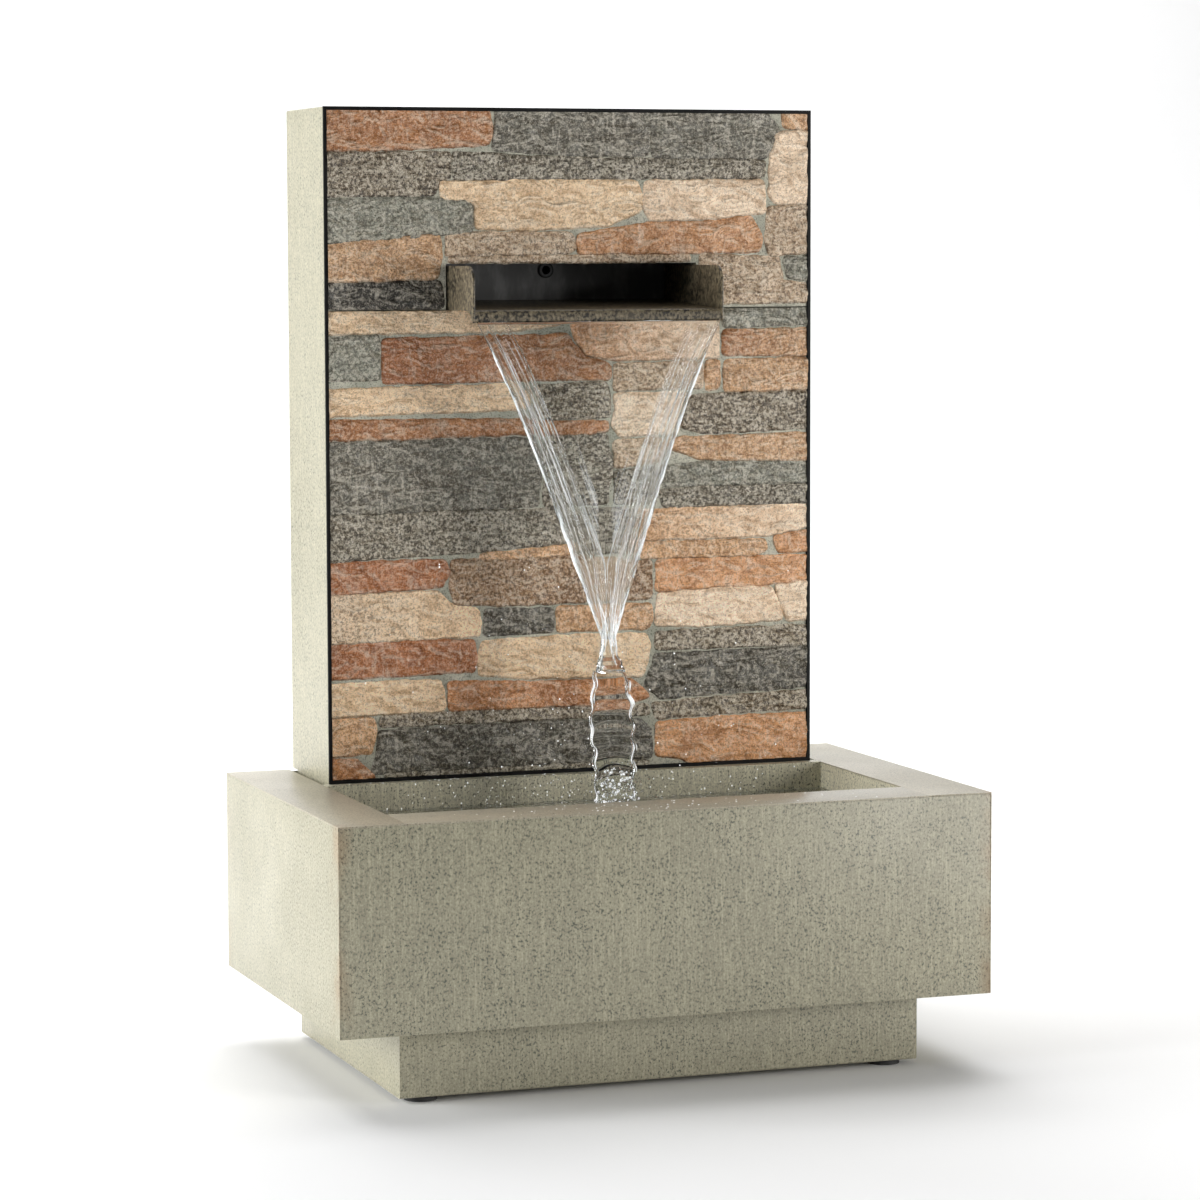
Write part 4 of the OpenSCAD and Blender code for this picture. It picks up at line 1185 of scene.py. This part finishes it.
def make_sheet():
    """The V: a thin film, clear threads that fan from the lip, and broken white outer edges that
    glow with painted glints.
    """
    rng = random.Random(5)
    water("water_sheet", [skin(90, 250, sheet_point)], WATER_SHEET)
    clear, white = [], []
    start_z = LIP_Z + 0.5 * MM
    for side in (-1.0, 1.0):
        for k in range(3):
            clear.append(strand(side, 1.1 * MM * k, start_z, APEX_Z - 4.0 * MM,
                                (0.95 - 0.2 * k) * MM, side * 3.0 + k, steps=120))
        for _ in range(CLEAR_THREADS):
            offset = BAND * rng.random() ** 1.15
            top = start_z - rng.choice((0.0, 0.0, rng.uniform(0.0, 0.07)))
            length = rng.uniform(0.08, 0.24)
            clear.append(strand(side, offset, top, max(top - length, APEX_Z - 6.0 * MM),
                                rng.uniform(0.16, 0.45) * MM, rng.uniform(0, 50)))
        for _ in range(EDGE_FLECKS):
            top = LIP_Z - 0.020 - rng.random() * 0.20
            length = rng.uniform(0.006, 0.030)
            white.append(strand(side, rng.uniform(-0.9, 0.8) * MM, top,
                                max(top - length, APEX_Z - 0.006),
                                rng.uniform(0.30, 0.75) * MM, rng.uniform(0, 50), steps=16))
        for _ in range(FINE_THREADS):
            offset = BAND * rng.random() ** 0.9
            top = LIP_Z - rng.random() * 0.21
            low = APEX_Z - 6.0 * MM
            white.append(strand(side, offset, top, max(top - rng.uniform(0.02, 0.10), low),
                                rng.uniform(0.07, 0.18) * MM, rng.uniform(0, 50), steps=16))
        for _ in range(JOINING_THREADS):
            offset = rng.uniform(1.0, 1.5) * BAND
            low = APEX_Z + offset * JOIN_RISE
            white.append(strand(side, offset, low + rng.uniform(0.01, 0.05), low,
                                rng.uniform(0.04, 0.08) * MM, rng.uniform(0, 50), steps=10))
    water("water_threads", clear, WATER_ROPE)
    water("water_edges", white, WATER_WHITE_GLOWING)


def jet_tube(top, bottom, half, depth, steps, sides):
    """An uneven upright tube whose half width and half depth are functions of height."""
    points = []
    for k in range(steps + 1):
        z = top + (bottom - top) * k / steps
        for i in range(sides):
            a = 2 * math.pi * i / sides
            uneven = 1.0 + 0.16 * lumps(math.cos(a) * 1.6, z * 70.0, math.sin(a))
            uneven += 0.07 * lumps(math.cos(a) * 5.0, z * 200.0, math.sin(a) * 5.0)
            points.append(Vector((fall_x(z) + half(z) * uneven * math.cos(a),
                                  fall_y(z) + depth(z) * uneven * math.sin(a), z)))
    faces = tube_quads(steps, sides)
    faces.append(tuple(range(sides)))
    faces.append(tuple(range(steps * sides, (steps + 1) * sides)))
    return points, faces


def link_half(z, side):
    """Half width of the flat link on one side: its table value with standing waves."""
    wave = math.sin(2 * math.pi * z / WAVE_LENGTH + 1.2 * side)
    wave += 0.7 * lumps(side * 7.0, z * 45.0, 0.0)
    return along_table(LINK_SHAPE, z) + 0.95 * MM * wave


def link_point(side, down, across):
    """A point of the flat link's film, with level bands like the rungs of a ladder."""
    top, bottom = PINCH_Z, POOL_Z - 2.0 * MM
    z = top + (bottom - top) * down
    u = 2.0 * across - 1.0
    half = link_half(z, 1.0 if u > 0 else -1.0)
    bow = z + 1.6 * MM * u * u
    band = math.sin(2 * math.pi * bow / WAVE_LENGTH)
    band += 0.7 * lumps(u * 0.8, bow * 150.0, 4.0 + side)
    thick = (1.5 + 0.48 * band * smooth(0.0, 0.25, down)) * MM
    return Vector((fall_x(z) + half * u, fall_y(z) - max(thick, 0.3 * MM) * (2 * side - 1), z))


def make_links():
    """Below the V: a narrow jet, then a flat link with wavy rims that falls into the pool."""
    rng = random.Random(11)
    jet = jet_tube(RIM_Z + 126.0 * MM, PINCH_Z - 1.0 * MM, lambda z: along_table(JET_SHAPE, z),
                   lambda z: 0.7 * along_table(JET_SHAPE, z), 70, 28)
    water("water_jet", [jet], WATER_ROPE)
    water("water_link", [skin(120, 40, link_point)], WATER_SHEET)
    clear, white = [], []
    bottom = POOL_Z - 2.0 * MM
    for side in (-1.0, 1.0):
        path, radii = [], []
        for k in range(111):
            z = PINCH_Z + (bottom - PINCH_Z) * k / 110
            path.append(Vector((fall_x(z) + side * link_half(z, side), fall_y(z), z)))
            radii.append((1.3 + 0.5 * lumps(side, z * 110.0, 4.0)) * MM)
        clear.append(tube_mesh(path, radii, 14, 0.2, side))
        for _ in range(LINK_GLINTS):
            top = PINCH_Z - rng.random() * 0.085
            length = rng.uniform(0.004, 0.018)
            out = rng.uniform(-1.2, 1.9) * MM
            path, radii = [], []
            for k in range(13):
                z = top - length * k / 12
                path.append(Vector((fall_x(z) + side * (link_half(z, side) + out),
                                    fall_y(z) - 1.7 * MM, z)))
                radii.append((0.12 + 0.36 * math.sin(math.pi * k / 12)) * MM)
            white.append(tube_mesh(path, radii, 6, 0.3, top))
    for i in range(JET_THREADS):
        phase = rng.uniform(0.0, 2 * math.pi)
        high = APEX_Z + rng.uniform(-6.0, 34.0) * MM
        low = PINCH_Z + rng.uniform(-2.0, 22.0) * MM
        path, radii = [], []
        for k in range(31):
            z = high + (low - high) * k / 30
            a = phase + (high - z) * 22.0
            spread = max(along_table(JET_SHAPE, z), sheet_half(z)) * 0.92
            path.append(Vector((fall_x(z) + spread * math.cos(a),
                                fall_y(z) - 3.5 * MM - 2.0 * MM * math.sin(a), z)))
            radii.append((0.10 + rng.uniform(0.2, 0.5) * math.sin(math.pi * k / 30)) * MM)
        (white if i % 2 else clear).append(tube_mesh(path, radii, 7, 0.3, i))
    water("water_link_rims", clear, WATER_ROPE)
    water("water_glints", white, WATER_WHITE_GLOWING)


def pool_point(side, back_share, across):
    """The pool's surface, with rings round the splash, over a shallow body of water."""
    left, right = TANK_LOW.x + 0.3 * MM, TANK_HIGH.x - 0.3 * MM
    front, back = TANK_LOW.y + SHEET_T + 0.3 * MM, PARTITION_LOW.y - 0.3 * MM
    x = left + (right - left) * across
    y = front + (back - front) * back_share
    away = math.hypot(x - fall_x(POOL_Z), y - fall_y(POOL_Z))
    wave = 1.5 * MM * math.exp(-away / 0.035) * math.cos(away * 2 * math.pi / 0.019)
    wave += 0.2 * MM * lumps(x * 38.0, y * 38.0, 2.0)
    return Vector((x, y, POOL_Z + (wave if side else -6.0 * MM)))


def make_pool():
    water("water_pool", [skin(60, 150, pool_point)], WATER_POOL, 60.0)


def bead(centre, radius, squash=(1.0, 1.0, 1.0), sides=8, rings=5):
    """A round drop, flattened along any axis."""
    points, faces = [centre + Vector((0, 0, radius * squash[2]))], []
    for r in range(1, rings):
        b = math.pi * r / rings
        for i in range(sides):
            a = 2 * math.pi * i / sides
            points.append(centre + Vector((radius * squash[0] * math.sin(b) * math.cos(a),
                                           radius * squash[1] * math.sin(b) * math.sin(a),
                                           radius * squash[2] * math.cos(b))))
    points.append(centre - Vector((0, 0, radius * squash[2])))
    last = len(points) - 1
    for i in range(sides):
        j = (i + 1) % sides
        faces.append((0, 1 + i, 1 + j))
        for r in range(rings - 2):
            a, b = 1 + r * sides, 1 + (r + 1) * sides
            faces.append((a + i, b + i, b + j, a + j))
        faces.append((last, last - sides + j, last - sides + i))
    return points, faces


def make_drops():
    """Froth and drops at the column's foot; beads on the ledge, the trim and the lower tile."""
    rng = random.Random(21)
    froth, bubbles, beads, sparks = [], [], [], []
    foot = Vector((fall_x(POOL_Z), fall_y(POOL_Z), POOL_Z))
    for k in range(FROTH_COUNT):
        rise = rng.random() ** 1.3
        reach = 20.0 * MM * (1.0 - 0.4 * rise) * math.sqrt(rng.random())
        a = rng.uniform(0, 2 * math.pi)
        at = foot + Vector((math.cos(a) * reach, math.sin(a) * reach * 0.7, 34.0 * MM * rise))
        (bubbles if k % 2 else froth).append(bead(at, rng.uniform(0.4, 1.3) * MM))
    for _ in range(SPLASH_COUNT):
        a = rng.uniform(0, 2 * math.pi)
        reach = rng.uniform(14.0, 46.0) * MM
        rise = rng.uniform(4.0, 44.0) * MM * (1.0 - reach / (70 * MM))
        at = foot + Vector((math.cos(a) * reach, math.sin(a) * reach * 0.7, rise))
        beads.append(bead(at, rng.uniform(0.4, 1.1) * MM, (1.0, 1.0, 1.25)))
    for _ in range(SPRAY_COUNT):
        x = rng.gauss(0.0, 0.085)
        if abs(x) > 0.185:
            continue
        kind = rng.random()
        size = rng.uniform(0.25, 0.65) * MM
        group = sparks if rng.random() < (0.55 if kind < 0.55 else 0.25) else beads
        if kind < 0.14:
            y = rng.uniform(BASIN_LOW.y + 4.0 * MM, TANK_LOW.y - 3.0 * MM)
            group.append(bead(Vector((x, y, RIM_Z)), size, (1.2, 1.2, 0.6)))
        elif kind < 0.46:
            z = RIM_Z - rng.uniform(1.5, 26.0) * MM
            group.append(bead(Vector((x, PARTITION_LOW.y, z)), size, (1.0, 0.6, 1.3)))
        elif kind < 0.55:
            y = rng.uniform(PARTITION_LOW.y + 1.5 * MM, FRAME_LOW.y - 1.0 * MM)
            group.append(bead(Vector((x, y, RIM_Z)), size, (1.2, 1.2, 0.6)))
        else:
            z = RIM_Z + abs(rng.gauss(0.0, 0.075)) + 1.0 * MM
            group.append(bead(Vector((x, TILE_Y - 0.9 * MM, z)), size, (1.0, 0.6, 1.2)))
    # The froth and the sparks glow with painted glints.
    water("water_froth", froth, WATER_WHITE_GLOWING)
    water("water_bubbles", bubbles, WATER_ROPE)
    water("water_sparks", sparks, WATER_SPARK_GLOWING)
    water("water_beads", beads, WATER_ROPE)


# ---------------------------------------------------------------- the rest of the CAD nodes


def dress_nodes():
    """Every CAD node that still shows takes the look of its slot."""
    slots = {s["node"]: s["material_slot"] for s in frame["record"]["subparts"]}
    for name, node in frame["nodes"].items():
        look = NODE_LOOKS.get(name, SLOT_LOOKS[slots[name]])
        node.data.materials.clear()
        node.data.materials.append(look)


def make_stage():
    """A pale floor that curves up into a backdrop."""
    reach, depth, height, curve = 9.0, 5.0, 7.0, 1.6
    line = [(-9.0, 0.0), (depth - curve, 0.0)]
    for k in range(1, 13):
        a = math.pi / 2 * k / 12
        line.append((depth - curve + curve * math.sin(a), curve - curve * math.cos(a)))
    line.append((depth, height))
    points = [Vector((x, y, z)) for y, z in line for x in (-reach, reach)]
    faces = [(2 * i, 2 * i + 1, 2 * i + 3, 2 * i + 2) for i in range(len(line) - 1)]
    s = Surface("pale_floor", 0.9)
    s.colour(s.mix(s.span(s.noise(2.0), 0.3, 0.7), (0.90, 0.90, 0.90), (0.88, 0.88, 0.88)))
    mesh = mesh_of("floor", points, faces)
    mesh.materials.append(s.material)
    for face in mesh.polygons:
        face.use_smooth = True
    floor = bpy.data.objects.new("floor", mesh)
    bpy.context.scene.collection.objects.link(floor)


dress_nodes()
make_panels()
make_plinth()
make_tank()
make_tower()
make_cover_screws()
make_spout()
make_tiles()
make_sheet()
make_links()
make_pool()
make_drops()
make_stage()
